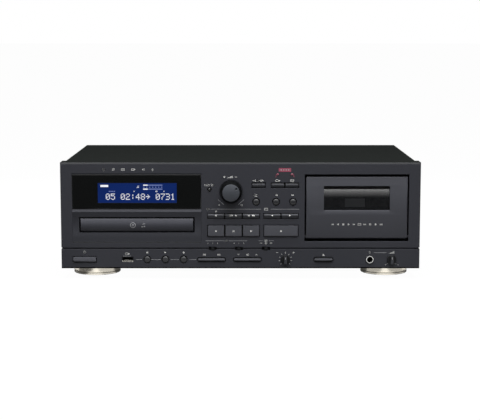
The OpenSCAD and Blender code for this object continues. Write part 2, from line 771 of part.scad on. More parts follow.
// Base tray with upturned edges, posts for the disc loader and the main board, and floor vents
module chassis_base() color(zinc) on_panel() difference() {
    union() {
        box([-inner_w / 2, panel_d, base_z], [inner_w / 2, body_d, base_top]);
        for (side = [-1, 1])
            translate([side * (inner_w - sheet) / 2, 0, 0])
                box([-sheet / 2, panel_d + 2, base_z], [sheet / 2, body_d - 2 * sheet, 24]);
        box([-inner_w / 2, panel_d + 0.5, base_z], [inner_w / 2, panel_d + 0.5 + sheet, 14]);
        for (post = concat(loader_posts, board_corners))
            translate([post[0], post[1], base_top - eps])
                cylinder(h = post[2] - base_top + eps, r = post_r);
    }
    for (i = [0:9], y = [96, 130])
        translate([30 + i * 10, y, 0]) box([-vent_w / 2, -12, -1], [vent_w / 2, 12, sheet + 1]);
}

socket_zs = [44, 44 + socket_pitch];
socket_xs = [sockets_x, sockets_x + socket_pitch];
inlet_z = 26;
inlet_w = 20;
inlet_h = 12;

module rear_panel() color(steel_black) on_panel() difference() {
    box([-inner_w / 2, body_d - sheet, base_top], [inner_w / 2, body_d, inner_top]);
    for (x = socket_xs, z = socket_zs)
        translate([x, body_d - 2 * sheet, z]) rotate([-90, 0, 0]) cylinder(h = 4 * sheet, r = socket_r + 0.3);
    translate([inlet_x, body_d, inlet_z])
        box([-inlet_w / 2 - 0.2, -2 * sheet, -inlet_h / 2 - 0.2],
            [inlet_w / 2 + 0.2, sheet, inlet_h / 2 + 0.2]);
    for (i = [0:vent_count - 1])
        translate([-96 + i * vent_pitch, body_d, 0])
            box([-vent_w / 2, -2 * sheet, 60], [vent_w / 2, sheet, 92]);
}

// Turned feet, hollow below, with a grooved side and a chamfered sole
module feet() color(champagne) on_panel()
    for (side = [-1, 1], y = foot_ys)
        translate([side * foot_x, y, -foot_h]) rotate_extrude() polygon([
            [foot_d / 2 - 9, 2.5], [foot_d / 2 - 9, 0], [foot_d / 2 - 0.8, 0], [foot_d / 2, 0.8],
            [foot_d / 2, 2.4], [foot_d / 2 - 0.6, 2.8], [foot_d / 2 - 0.6, 3.4], [foot_d / 2, 3.8],
            [foot_d / 2, foot_h - 1], [foot_d / 2 - 1, foot_h],
            [0, foot_h], [0, 2.5]]);

// Boards

// Board on the base with its capacitors, heat sink and connectors
module main_board() on_panel() {
    z = base_top + board_post_h;
    top = z + board_t;
    color(board_green) box([main_board_x[0], main_board_y[0], z], [main_board_x[1], main_board_y[1], top]);
    color(dark_plastic) {
        for (i = [0:3])
            translate([main_board_x[0] + 24 + i * 22, main_board_y[1] - 22, top - eps])
                cylinder(h = 26, r = 8);
        for (i = [0:2])
            translate([40 + i * 46, main_board_y[0] + 30, top - eps]) box([-10, -10, 0], [10, 10, 3]);
    }
    color(zinc) translate([main_board_x[1] - 60, main_board_y[0] + 58, top - eps]) {
        box([-26, -3, 0], [26, 0, 34]);
        for (i = [0:8]) translate([-26 + i * 6.25, 0, 0]) box([0, -eps, 0], [2, 16, 34]);
    }
}

// Laminated core with its coil on the base
module power_transformer() on_panel() translate([transformer_at[0], transformer_at[1], base_top]) {
    color(steel_black) difference() {
        box([-32, -14, 0], [32, 14, 54]);
        for (x = [-16, 16]) translate([x, 0, 27]) box([-7, -20, -17], [7, 20, 17]);
    }
    color(copper) difference() {
        box([-22.5, -24, 10.5], [22.5, 24, 43.5]);
        box([-9, -14.2, 8], [9, 14.2, 46]);
        for (x = [-1, 1]) translate([x * 27.7, 0, 27]) box([-4.6, -14.2, -20], [4.6, 14.2, 20]);
    }
}

// A push switch on the control board
module tact(x, z) translate([x, 0, z])
    box([-tact_w / 2, tact_depth, -tact_w / 2], [tact_w / 2, board_depth + eps, tact_w / 2]);

// A potentiometer on the control board, with the bearing of a knob's shaft
module pot(x, z, size) translate([x, 0, z]) difference() {
    box([-size / 2, board_depth - 6, -size / 2], [size / 2, board_depth + eps, size / 2]);
    translate([0, board_depth - 1, 0]) rotate([90, 0, 0]) cylinder(h = 8, r = shaft_r + shaft_play);
}

// Two-armed board behind the panel that carries every switch, potentiometer and lamp
module control_board() on_panel() {
    color(board_green) along_y(board_depth, board_depth + board_t)
        polygon([[-board_reach, 3.5], [board_reach, 3.5], [board_reach, 21.5], [board_right, 21.5],
                 [board_right, 121], [board_left, 121], [board_left, 30], [board_left - 16, 30],
                 [board_left - 16, 21.5], [-board_reach, 21.5]]);
    color(dark_plastic) {
        for (x = concat(disc_x, tape_x)) tact(x, slim_z);
        for (x = concat(disc_x, [wide_key_x])) tact(x, large_z);
        for (x = concat([source_x], record_xs)) tact(x, upper_z);
        for (x = tape_button_xs) tact(x, tape_button_z);
        for (x = concat(play_xs, [power_x, eject_x])) tact(x, lower_z);
        for (x = [skip_x, volume_x], side = [-1, 1]) tact(x + side * rocker_contact, lower_z);
        for (x = [skip_x, volume_x])
            translate([x, 0, lower_z])
                box([-3, rocker_axis + rocker_rib_r + contact_play, -2.2], [3, board_depth + eps, 2.2]);
        tact(reset_x, reset_z);
        for (x = switch_xs)
            translate([x, 0, groove_z]) box([-7, tact_depth, -3.5], [7, board_depth + eps, 3.5]);
        pot(level_x, level_z, 16);
        for (x = [pitch_x, mic_x]) pot(x, lower_z, 11);
    }
    color(lamp_red) for (x = record_xs)
        translate([x, 0, lamp_z]) turned()
            polygon([[0, 0.9], [lamp_r * 0.55, 0.75], [lamp_r * 0.9, 0.35], [lamp_r, -0.1],
                     [lamp_r, -board_depth - eps], [0, -board_depth - eps]]);
}

// Sockets

// Folded metal shell with a contact tongue near its floor
module usb_socket() color(nickel) on_panel(stick_x, lower_z) {
    wall = 0.5;
    mouth = 0.4;
    difference() {
        box([-stick_w / 2, mouth, -stick_h / 2], [stick_w / 2, board_depth, stick_h / 2]);
        box([-stick_w / 2 + wall, -1, -stick_h / 2 + wall],
            [stick_w / 2 - wall, board_depth - 1, stick_h / 2 - wall]);
    }
    box([-stick_w / 2 + 1.3, mouth + 1.6, -stick_h / 2 + 0.9],
        [stick_w / 2 - 1.3, board_depth - 0.9, -stick_h / 2 + 2.6]);
}

// Jack with a turned rim in front of the panel and a block on the control board
module mic_jack() color(nickel) on_panel(jack_x, lower_z) difference() {
    union() {
        turned() polygon([[0, 1.2], [jack_rim_r - 0.5, 1.2], [jack_rim_r, 0.7], [jack_rim_r, 0],
                          [jack_rim_r - 0.7, 0], [jack_rim_r - 0.7, -board_depth + 1],
                          [0, -board_depth + 1]]);
        box([-6, panel_wall + 0.1, -6], [6, board_depth, 6]);
    }
    turned() polygon([[0, 2], [jack_r, 2], [jack_r, -board_depth + 1.2], [0, -board_depth + 1.2]]);
}

// Barrels for phono plugs, each with its collar on the rear panel
module line_sockets() color(nickel) on_panel()
    for (x = socket_xs, z = socket_zs)
        translate([x, body_d, z]) mirror([0, 1, 0]) turned() polygon([
            [1.65, -3], [1.65, socket_proud], [socket_r - 0.4, socket_proud], [socket_r, socket_proud - 0.4],
            [socket_r, 1.5], [6.2, 1.5], [6.2, 0], [socket_r, 0], [socket_r, -6], [0, -6], [0, -3]]);

// Two-pole inlet with its well open to the back
module mains_inlet() color(dark_plastic) on_panel(inlet_x, inlet_z) {
    well_floor = body_d - 11;
    difference() {
        union() {
            box([-inlet_w / 2, body_d - 16, -inlet_h / 2], [inlet_w / 2, body_d + 1.5, inlet_h / 2]);
            along_y(body_d, body_d + 1.5) polygon(round_rect(inlet_w + 5, inlet_h + 4, 2));
        }
        along_y(well_floor, body_d + 3) polygon(round_rect(15.6, 7.6, 3.7));
    }
    for (side = [-1, 1])
        translate([side * 4.3, well_floor - 0.5, 0]) rotate([-90, 0, 0]) cylinder(h = 9.5, r = 1.2);
}

// Disc loader

// Radius, pressure angle and tooth outline of an involute gear
pressure_angle = 20;
gear_base_r = gear_pitch_r * cos(pressure_angle);
gear_tip_r = gear_pitch_r + gear_module;
gear_root_r = gear_pitch_r - 1.25 * gear_module;
function involute(a) = tan(a) - a * PI / 180;
function half_tooth(r) = 90 / gear_teeth - 90 * tooth_play / (PI * gear_pitch_r)
    + (involute(pressure_angle) - involute(acos(min(1, gear_base_r / r)))) * 180 / PI;
function flank_r(i) = gear_base_r + (gear_tip_r - gear_base_r) * i / 4;
function polar(r, a) = [r * cos(a), r * sin(a)];
function gear_tooth(middle) = concat(
    [polar(gear_root_r, middle - half_tooth(gear_base_r))],
    [for (i = [0:4]) let (r = flank_r(i)) polar(r, middle - half_tooth(r))],
    [for (i = [4:-1:0]) let (r = flank_r(i)) polar(r, middle + half_tooth(r))],
    [polar(gear_root_r, middle + half_tooth(gear_base_r))]);

tooth_pitch = PI * gear_module;
rack_first = -2;
rack_last = floor((tray_travel + 9) / tooth_pitch);

// Teeth that face the gear, with a gap in line with the gear's middle at rest
rack_teeth = [for (i = [rack_first:rack_last])
    for (corner = [[1.25, -1], [-1, -1], [-1, 1], [1.25, 1]])
        let (y = gear_depth + (i + 0.5) * tooth_pitch,
             half = tooth_pitch / 4 - tooth_play / 2 + corner[0] * gear_module * tan(pressure_angle))
        [rack_x + corner[0] * gear_module, y + corner[1] * half]];

// Frame with rails for the tray, the turntable's motor, the sled's rods and the clamp's bridge
module cd_loader_frame() on_panel(drawer_x) {
    rail = 4;
    outer = loader_inner + loader_wall;
    rear = loader_front + loader_l;
    color(dark_plastic) difference() {
        union() {
            box([-outer, loader_front, loader_floor_z - loader_floor_t], [outer, rear, loader_floor_z]);
            for (side = [-1, 1]) mirror([side < 0 ? 1 : 0, 0, 0]) {
                box([loader_inner, loader_front, loader_floor_z - loader_floor_t],
                    [outer, rear, tray_top + 3]);
                box([loader_inner - rail, loader_front, tray_z - tray_play - 2],
                    [loader_inner + eps, rear, tray_z - tray_play]);
                box([loader_inner - rail, loader_front + 30, tray_top + tray_play],
                    [loader_inner + eps, rear, tray_top + 3]);
                box([loader_inner, disc_depth - bridge_l / 2, loader_floor_z],
                    [outer, disc_depth + bridge_l / 2, bridge_z + bridge_t]);
            }
            box([-outer, disc_depth - bridge_l / 2, bridge_z],
                [outer, disc_depth + bridge_l / 2, bridge_z + bridge_t]);
            translate([gear_x, gear_depth, loader_floor_z - eps])
                cylinder(h = gear_z - contact_play - loader_floor_z, r = gear_pin_r + 2);
            translate([gear_x, gear_depth, loader_floor_z - eps])
                cylinder(h = gear_z + gear_t - 0.2 - loader_floor_z, r = gear_pin_r);
            translate([0, disc_depth, loader_floor_z - 11]) cylinder(h = 16, r = spindle_motor_r);
            for (y = [sled_bay[0] - rod_stand, sled_bay[1]], x = [-rod_x, rod_x])
                translate([x, y, 0])
                    box([-4, 0, loader_floor_z - eps], [4, rod_stand, rod_z + rod_r + 1]);
        }
        box([-sled_w / 2 - 2, sled_bay[0], loader_floor_z - 4],
            [sled_w / 2 + 2, sled_bay[1], loader_floor_z + 1]);
        translate([0, disc_depth, loader_floor_z - 8]) cylinder(h = 20, r = spindle_r + shaft_play);
        translate([0, disc_depth, bridge_z - 1]) cylinder(h = bridge_t + 2, r = clamp_r + 0.6);
    }
    color(nickel) for (x = [-rod_x, rod_x])
        translate([x, sled_bay[0] - 1, rod_z]) rotate([-90, 0, 0])
            cylinder(h = sled_bay[1] - sled_bay[0] + 2, r = rod_r);
}

// Tray with two disc recesses, the turntable's slot and the toothed rack below
module cd_tray() color(dark_plastic) on_panel(drawer_x) {
    difference() {
        translate([0, (tray_front_depth + tray_rear_depth) / 2, tray_z])
            linear_extrude(tray_t) polygon(round_rect(tray_w, tray_l, 3));
        translate([0, disc_depth, tray_top - disc_seat_depth])
            cylinder(h = 10, r = disc_seat_d / 2, $fn = 96);
        translate([0, disc_depth, tray_top - disc_seat_depth - small_seat_depth])
            cylinder(h = 10, r = small_seat_d / 2, $fn = 96);
        translate([0, disc_depth, tray_z - 1]) cylinder(h = 10, r = tray_slot_w / 2);
        box([-tray_slot_w / 2, disc_depth, tray_z - 1], [tray_slot_w / 2, tray_rear_depth + 1, tray_top + 1]);
    }
    translate([0, 0, tray_z - rack_h]) linear_extrude(rack_h + eps)
        polygon(concat([[rack_x + 4, gear_depth + rack_first * tooth_pitch]],
                       rack_teeth, [[rack_x + 4, gear_depth + (rack_last + 1) * tooth_pitch]]));
}

module tray_front() color(key_grey) on_panel(drawer_x)
    bevelled_plate(drawer_w, drawer_z - drawer_h / 2, drawer_z + drawer_h / 2,
                   -drawer_proud, tray_front_depth, 1, drawer_crown);

module loading_gear() color(champagne) on_panel(drawer_x)
    translate([gear_x, gear_depth, gear_z]) difference() {
        linear_extrude(gear_t) polygon([for (i = [0:gear_teeth - 1]) each gear_tooth(360 * i / gear_teeth)]);
        translate([0, 0, -1]) cylinder(h = gear_t + 2, r = gear_pin_r + shaft_play);
    }

module cd_turntable() color(dark_plastic) on_panel(drawer_x) translate([0, disc_depth, 0]) rotate_extrude()
    polygon([[0, loader_floor_z - 6], [spindle_r, loader_floor_z - 6], [spindle_r, loader_floor_z + 5.6],
             [4, loader_floor_z + 5.6], [4, turntable_top - turntable_t],
             [turntable_r, turntable_top - turntable_t], [turntable_r, turntable_top],
             [hub_r, turntable_top], [hub_r, turntable_top + 1],
             [hub_r - 2, turntable_top + hub_h], [0, turntable_top + hub_h]]);

module disc_clamp() color(charcoal) on_panel(drawer_x) translate([0, disc_depth, 0]) rotate_extrude()
    polygon([[0, turntable_top + hub_h + 0.6], [clamp_r - 1, turntable_top + hub_h + 0.6],
             [clamp_r, turntable_top + hub_h + 1.6], [clamp_r, bridge_z + bridge_t + contact_play],
             [clamp_r + 4, bridge_z + bridge_t + contact_play], [clamp_r + 4, bridge_z + bridge_t + 2.3],
             [0, bridge_z + bridge_t + 2.3]]);

// Carriage on the two rods, with the lens in the tray's slot
module laser_sled() color(steel_black) on_panel(drawer_x) difference() {
    union() {
        box([-sled_w / 2, sled_front, loader_floor_z - 3], [sled_w / 2, sled_front + sled_l, tray_z - 1.2]);
        translate([0, sled_front + 10, tray_z - 2]) cylinder(h = 4, r = 4);
    }
    for (x = [-rod_x, rod_x])
        translate([x, sled_front - 1, rod_z]) rotate([-90, 0, 0])
            cylinder(h = sled_l + 2, r = rod_r + shaft_play);
}

// Tape transport

// Well round the cassette holder, closed by a plate and stood on the base
module tape_frame() color(dark_plastic) on_panel(door_x) {
    half = door_open_w / 2 + 0.5;
    low = door_open_low - 0.5;
    high = door_open_top + 0.5;
    difference() {
        union() {
            box([-half - well_wall, hinge_depth + hinge_r + 3, low - well_wall],
                [half + well_wall, plate_depth + plate_t, high + well_wall]);
            for (side = [-1, 1]) translate([side * (half - 12), 0, 0]) {
                box([-6, plate_depth, base_top], [6, plate_depth + plate_t, low + 1]);
                box([-6, plate_depth, base_top], [6, plate_depth + stand_l, base_top + plate_t]);
            }
        }
        box([-half, 0, low], [half, plate_depth, high]);
        for (side = [-1, 1]) {
            translate([side * reel_pitch / 2, plate_depth, reel_z]) rotate([90, 0, 0])
                cylinder(h = 4 * plate_t, r = reel_shaft_r + shaft_play, center = true);
            translate([side * capstan_pitch / 2, plate_depth, capstan_z]) rotate([90, 0, 0])
                cylinder(h = 4 * plate_t, r = capstan_r + shaft_play, center = true);
        }
    }
    box([-12.5, plate_depth - 5, reel_z - 16], [12.5, plate_depth + eps, reel_z + 26]);
    for (side = [-1, 1])
        translate([side * guide_pin_x, plate_depth + eps, guide_pin_z]) rotate([90, 0, 0])
            cylinder(h = plate_depth - bridge_depth + 1.5, r = guide_pin_r);
}

// Motor can behind the plate
module tape_drive() color(zinc) on_panel(door_x)
    translate([0, plate_depth + plate_t, motor_z]) mirror([0, 1, 0]) turned()
        polygon([[0, 0], [motor_r, 0], [motor_r, 24], [motor_r - 1.5, 25.5], [4, 25.5], [4, 27], [0, 27]]);

// Door with its window opening, the sill below it and two hinge pins
module cassette_door() color(charcoal) on_panel(door_x) difference() {
    union() {
        bevelled_plate(door_w, door_low, door_low + door_h, -door_proud, door_t, door_bevel, door_crown);
        for (side = [-1, 1]) mirror([side < 0 ? 1 : 0, 0, 0]) {
            box([door_w / 2 - 6, door_t - eps, hinge_z - hinge_r],
                [door_w / 2, hinge_depth + hinge_r + 1, hinge_z + hinge_r + 6]);
            translate([door_w / 2 - eps, hinge_depth, hinge_z]) rotate([0, 90, 0])
                cylinder(h = door_gap_x + bearing_w - 0.3, r = hinge_r);
        }
    }
    along_x(-pane_w / 2, pane_w / 2)
        polygon([[-door_proud - 1, pane_top], [door_t + 1, pane_top], [door_t + 1, pane_z],
                 [sill_fall - door_proud, pane_z], [-door_proud, pane_z - sill_h], [-door_proud - 1, pane_z - sill_h]]);
}

// Smoked pane with a rolled upper edge and a rim behind the door
module door_window() color(smoke) on_panel(door_x) {
    pane_play = 0.15;
    roll_start = pane_z + 0.857 * pane_h - pane_roll;
    roll_angle = 2 * atan(pane_fall / pane_roll);
    roll_r = pane_roll / sin(roll_angle);
    along_x(-pane_w / 2 + pane_play, pane_w / 2 - pane_play)
        polygon(concat([[door_t + eps, pane_z + pane_play], [pane_set, pane_z + pane_play]],
                       arc([pane_set + roll_r, roll_start], roll_r, 180, 180 - roll_angle),
                       [[door_t + eps, roll_start + pane_roll]]));
    box([-pane_w / 2 - pane_rim, door_t, pane_z - pane_rim],
        [pane_w / 2 + pane_rim, pocket_front, pane_top + pane_rim]);
}

// Two channels for the cassette's ends, joined by a strip on the door's back
module cassette_holder() color(dark_plastic) on_panel(door_x) {
    half = pocket_w / 2;
    shelf_low = cassette_z - holder_wall;
    box([-half - holder_wall, door_t, shelf_low], [half + holder_wall, pocket_front, pane_z - pane_rim - 1]);
    for (side = [-1, 1]) mirror([side < 0 ? 1 : 0, 0, 0]) {
        box([half, door_t, shelf_low], [half + holder_wall, pocket_back + holder_wall, holder_top]);
        box([half - holder_lip, pocket_back, shelf_low],
            [half + holder_wall, pocket_back + holder_wall, holder_top]);
        box([half - 8.5, door_t, shelf_low], [half + holder_wall, pocket_back + holder_wall, cassette_z]);
    }
}

// Splined hub in front of the plate on a shaft, with its drive disc behind
module reel_hub(side) color(nickel) on_panel(door_x) translate([side * reel_pitch / 2, 0, reel_z]) {
    front = plate_depth - 0.6;
    turned() polygon([[0, -hub_tip], [1.4, -hub_tip], [2.9, -hub_tip - 2], [2.9, -front + 3],
                      [5.6, -front + 2], [5.6, -front], [reel_shaft_r, -front],
                      [reel_shaft_r, -plate_depth - plate_t - 0.6], [9, -plate_depth - plate_t - 0.6],
                      [9, -plate_depth - plate_t - 3.6], [0, -plate_depth - plate_t - 3.6]]);
    for (i = [0:5])
        rotate([0, 60 * i, 0]) box([2, hub_tip + 2.4, -0.5], [4.2, front - 1.5, 0.5]);
}
module reel_hub_left() reel_hub(-1);
module reel_hub_right() reel_hub(1);

// Capstan shaft with its flywheel behind the plate
module flywheel(side) color(nickel) on_panel(door_x) translate([side * capstan_pitch / 2, 0, capstan_z]) {
    wheel = plate_depth + plate_t + 5;
    turned() polygon([[0, -hub_tip], [capstan_r - 0.3, -hub_tip], [capstan_r, -hub_tip - 0.3],
                      [capstan_r, -wheel], [flywheel_r, -wheel], [flywheel_r, -wheel - 3],
                      [flywheel_r - 0.8, -wheel - 3.8], [flywheel_r - 0.8, -wheel - 6],
                      [flywheel_r, -wheel - 6.8], [flywheel_r, -wheel - 8], [0, -wheel - 8]]);
}
module flywheel_left() flywheel(-1);
module flywheel_right() flywheel(1);

// Sliding plate with the head and two pinch rollers, guided by two pins in slots
module head_bridge() on_panel(door_x) {
    low = door_open_low + 0.6;
    color(zinc) difference() {
        union() {
            box([-capstan_pitch / 2 - 6, bridge_depth, low],
                [capstan_pitch / 2 + 6, bridge_depth + bridge_plate_t, head_top - 2]);
            box([-guide_pin_x - 6, bridge_depth, low],
                [guide_pin_x + 6, bridge_depth + bridge_plate_t, guide_pin_z + 5]);
            box([-8, hub_tip + 1, head_top - 9], [8, bridge_depth + eps, head_top]);
            for (side = [-1, 1])
                translate([side * capstan_pitch / 2, bridge_depth + eps, pinch_z]) rotate([90, 0, 0])
                    cylinder(h = bridge_depth - hub_tip - 3, r = 1);
        }
        for (side = [-1, 1])
            translate([side * guide_pin_x, bridge_depth - 1, guide_pin_z])
                box([-guide_pin_r - 0.3, 0, -head_travel - guide_pin_r - 0.3],
                    [guide_pin_r + 0.3, bridge_plate_t + 2, guide_pin_r + 0.3]);
    }
    color(dark_plastic) for (side = [-1, 1])
        translate([side * capstan_pitch / 2, bridge_depth - 2, pinch_z]) rotate([90, 0, 0]) difference() {
            cylinder(h = 7, r = pinch_r);
            translate([0, 0, -1]) cylinder(h = 9, r = 1 + shaft_play);
        }
}

// Knobs

module level_knob() color(key_grey) on_panel(level_x, level_z) difference() {
    turned() polygon([[0, knob_proud], [knob_face_r - 0.8, knob_proud], [knob_face_r, knob_proud - 0.8],
                      [knob_skirt_r, 1.5], [knob_skirt_r, -dish_depth + 0.4], [shaft_r, -dish_depth + 0.4],
                      [shaft_r, -board_depth + 1.4], [0, -board_depth + 1.4]]);
    rotate([0, -35, 0]) translate([knob_face_r - 3.4, -knob_proud, 0]) turned()
        polygon([[0, 1], [1.9, 1], [1.4, -0.3], [0.8, -0.7], [0, -0.8]]);
}

// A knob with a grip bar across its disc
module small_knob(x) color(dark_plastic) on_panel(x, lower_z) {
    disc_h = 2.6;
    turned() polygon([[0, disc_h], [small_knob_r - 0.6, disc_h], [small_knob_r, disc_h - 0.6],
                      [small_knob_r, 0.4], [shaft_r, 0.4], [shaft_r, -board_depth + 1.4],
                      [0, -board_depth + 1.4]]);
    intersection() {
        turned() polygon([[0, small_knob_proud], [small_knob_r - 1.2, small_knob_proud],
                          [small_knob_r - 0.4, disc_h - 1], [0, disc_h - 1]]);
        box([-1.7, -small_knob_proud - 1, -small_knob_r], [1.7, 0, small_knob_r]);
    }
}
module pitch_knob() small_knob(pitch_x);
module mic_knob() small_knob(mic_x);

// Keys and buttons

function stem_end(travel) = tact_depth - contact_play - travel;

// A key with a ridge across its face, a flange behind the panel and a stem to its switch
module bar_key(x, z, w, h, travel = key_travel, ridge = 0.68, lower = 0.1, set = 0)
    color(key_grey) on_panel(x, z) {
    along_x(-w / 2, w / 2)
        polygon([[set - lower * key_proud, -h / 2], [set - key_proud, h * (ridge - 0.5)],
                 [set - 0.5 * key_proud, h / 2], [flange_depth + eps, h / 2], [flange_depth + eps, -h / 2]]);
    box([-w / 2, flange_depth, -h / 2 - key_gap - flange_lip],
        [w / 2, flange_depth + flange_t, h / 2 + key_gap + flange_lip]);
    box([-key_stem / 2, flange_depth + flange_t - eps, -key_stem / 2],
        [key_stem / 2, stem_end(travel), key_stem / 2]);
}

// A domed button with a flange behind the panel and a stem to its switch
module round_button(x, z, r) color(key_grey) on_panel(x, z) {
    lip = r + button_gap + flange_lip;
    turned() polygon(concat(
        [for (i = [0:5]) [r * sin(15 * i), button_proud - 0.9 * (1 - cos(15 * i))]],
        [[r, button_proud - 0.9], [r, -flange_depth], [lip, -flange_depth], [lip, -flange_depth - flange_t],
         [1.5, -flange_depth - flange_t], [1.5, -stem_end(key_travel)], [0, -stem_end(key_travel)]]));
}

// A long button with round ends and a bevelled face
module pill(w, h) {
    along_y(-key_proud + 0.5, flange_depth + eps) polygon(round_rect(w, h, h / 2 - 0.05));
    along_y(-key_proud, -key_proud + 0.5 + eps) polygon(round_rect(w - 0.9, h - 0.9, h / 2 - 0.5));
}

// A rocker that tilts on a rib against its block, with a stem near each end
module rocker(x) color(key_grey) on_panel(x, lower_z) {
    pill(rocker_w, rocker_h);
    lip = key_gap + flange_lip;
    flange = flange_depth + rocker_w / 2 * tan(rocker_tilt);
    box([-rocker_w / 2, flange_depth, -rocker_h / 2], [rocker_w / 2, flange + flange_t, rocker_h / 2]);
    box([-rocker_w / 2, flange, -rocker_h / 2 - lip], [rocker_w / 2, flange + flange_t, rocker_h / 2 + lip]);
    translate([0, rocker_axis, -2]) cylinder(h = 4, r = rocker_rib_r);
    box([-0.8, flange, -2], [0.8, rocker_axis, 2]);
    for (side = [-1, 1])
        translate([side * rocker_contact, 0, 0])
            box([-key_stem / 2, flange, -key_stem / 2],
                [key_stem / 2, stem_end(rocker_contact * sin(rocker_tilt)) - 0.1, key_stem / 2]);
}

module skip_rocker() rocker(skip_x);
module volume_rocker() rocker(volume_x);
module eject_button() color(key_grey) on_panel(eject_x, lower_z) {
    h = rocker_h + 0.8;
    pill(eject_w, h);
    box([-eject_w / 2 + h / 2, flange_depth, -h / 2 - key_gap - flange_lip],
        [eject_w / 2 - h / 2, flange_depth + flange_t, h / 2 + key_gap + flange_lip]);
    box([-key_stem / 2, flange_depth, -key_stem / 2], [key_stem / 2, stem_end(key_travel), key_stem / 2]);
}

module counter_reset_button() round_button(reset_x, reset_z, reset_r);
module repeat_button() round_button(tape_button_xs[0], tape_button_z, button_r);
module rewind_button() round_button(tape_button_xs[1], tape_button_z, button_r);
module forward_button() round_button(tape_button_xs[2], tape_button_z, button_r);
module stick_stop_button() round_button(play_xs[0], lower_z, button_r);
module stick_play_button() round_button(play_xs[1], lower_z, button_r);
module stick_record_button() round_button(play_xs[2], lower_z, button_r);
module source_key() bar_key(source_x, upper_z, upper_w, upper_h, ridge = 0.55, set = upper_set);
module record_key_left() bar_key(record_xs[0], upper_z, upper_w, upper_h, ridge = 0.55, set = upper_set);
module record_key_right() bar_key(record_xs[1], upper_z, upper_w, upper_h, ridge = 0.55, set = upper_set);
module drawer_key() bar_key(disc_x[0], slim_z, key_w, slim_h);
module skip_back_key() bar_key(disc_x[1], slim_z, key_w, slim_h);
module skip_forward_key() bar_key(disc_x[2], slim_z, key_w, slim_h);
module tape_reverse_key() bar_key(tape_x[0], slim_z, key_w, slim_h);
module tape_forward_key() bar_key(tape_x[1], slim_z, key_w, slim_h);
module disc_stop_key() bar_key(disc_x[0], large_z, key_w, large_h, ridge = 0.1, lower = 0.6);
module disc_pause_key() bar_key(disc_x[1], large_z, key_w, large_h, ridge = 0.1, lower = 0.6);
module disc_play_key() bar_key(disc_x[2], large_z, key_w, large_h, ridge = 0.1, lower = 0.6);
module tape_stop_key() bar_key(wide_key_x, large_z, wide_key_w, large_h, ridge = 0.1, lower = 0.6);
module power_button() bar_key(power_x, lower_z, power_w, power_h, power_travel, 0.25, 0.6);

// A lever in its notch, on a shutter behind the panel
module slide_switch(x) color(dark_plastic) on_panel(x, groove_z) {
    lever_h = notch_h - 1;
    shutter = (notch_w + lever_w) / 2 + switch_travel;
    box([-lever_w / 2, -0.8, -lever_h / 2], [lever_w / 2, flange_depth + eps, lever_h / 2]);
    box([-shutter, flange_depth, -notch_h / 2 - flange_lip],
        [shutter, flange_depth + flange_t, notch_h / 2 + flange_lip]);
    box([-lever_w / 2, flange_depth, -lever_h / 2], [lever_w / 2, tact_depth - contact_play, lever_h / 2]);
}
module start_switch() slide_switch(switch_xs[0]);
module timer_switch() slide_switch(switch_xs[1]);
module reverse_switch() slide_switch(switch_xs[2]);

front_panel();
display_window();
lcd_module();
top_cover();
chassis_base();
rear_panel();
feet();
main_board();
power_transformer();
control_board();
usb_socket();
mic_jack();
line_sockets();
mains_inlet();
cd_loader_frame();
cd_tray();
tray_front();
loading_gear();
cd_turntable();
disc_clamp();
laser_sled();
tape_frame();
tape_drive();
cassette_door();
door_window();
cassette_holder();
reel_hub_left();
reel_hub_right();
flywheel_left();
flywheel_right();
head_bridge();
level_knob();
pitch_knob();
mic_knob();
counter_reset_button();
source_key();
record_key_left();
record_key_right();
repeat_button();
rewind_button();
forward_button();
drawer_key();
skip_back_key();
skip_forward_key();
tape_reverse_key();
tape_forward_key();
disc_stop_key();
disc_pause_key();
disc_play_key();
tape_stop_key();
power_button();
stick_stop_button();
stick_play_button();
stick_record_button();
skip_rocker();
volume_rocker();
eject_button();
start_switch();
timer_switch();
reverse_switch();
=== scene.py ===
"""Looks of a full-width disc and cassette deck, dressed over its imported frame.

Lengths in the tables are millimetres. Places on the front are (x, z): x from the panel's middle, z up
from its lower edge, and `out` is the distance in front of its face.
"""

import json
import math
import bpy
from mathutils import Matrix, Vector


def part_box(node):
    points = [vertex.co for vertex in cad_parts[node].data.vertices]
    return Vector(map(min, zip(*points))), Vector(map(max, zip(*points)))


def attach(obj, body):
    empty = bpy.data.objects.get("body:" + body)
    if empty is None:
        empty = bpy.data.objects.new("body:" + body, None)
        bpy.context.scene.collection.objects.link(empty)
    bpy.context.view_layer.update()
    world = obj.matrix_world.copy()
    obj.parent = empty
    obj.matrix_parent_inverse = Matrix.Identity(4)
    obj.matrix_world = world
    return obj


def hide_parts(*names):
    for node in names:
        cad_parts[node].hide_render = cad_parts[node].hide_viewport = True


bl_info = {
    "name": "Disc and cassette deck",
    "version": (1, 0, 0),
    "blender": (4, 5, 0),
    "location": "View3D > Sidebar > Deck",
    "description": "Dresses the packed deck with its finishes, print, display and stage",
    "category": "Object",
}

import bmesh
import bpy
from bpy.props import FloatProperty, FloatVectorProperty, PointerProperty
from mathutils import Matrix, Vector

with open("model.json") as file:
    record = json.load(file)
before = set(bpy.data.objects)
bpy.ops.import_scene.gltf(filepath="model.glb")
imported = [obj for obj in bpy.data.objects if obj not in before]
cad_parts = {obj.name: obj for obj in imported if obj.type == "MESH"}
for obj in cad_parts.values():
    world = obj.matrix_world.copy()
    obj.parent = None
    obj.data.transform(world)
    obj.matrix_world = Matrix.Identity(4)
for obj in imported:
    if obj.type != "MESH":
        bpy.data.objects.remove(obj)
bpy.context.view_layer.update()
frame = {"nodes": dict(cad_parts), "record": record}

BODIES = frame["record"]["behaviour"]["bodies"]
BODY_OF = {node: body for body, nodes in BODIES.items() for node in nodes}

MM = 0.001
PANEL_DEPTH = 24 * MM
FACE_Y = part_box("front_panel")[1].y - PANEL_DEPTH
EDGE_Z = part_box("front_panel")[0].z
REAR_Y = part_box("rear_panel")[1].y

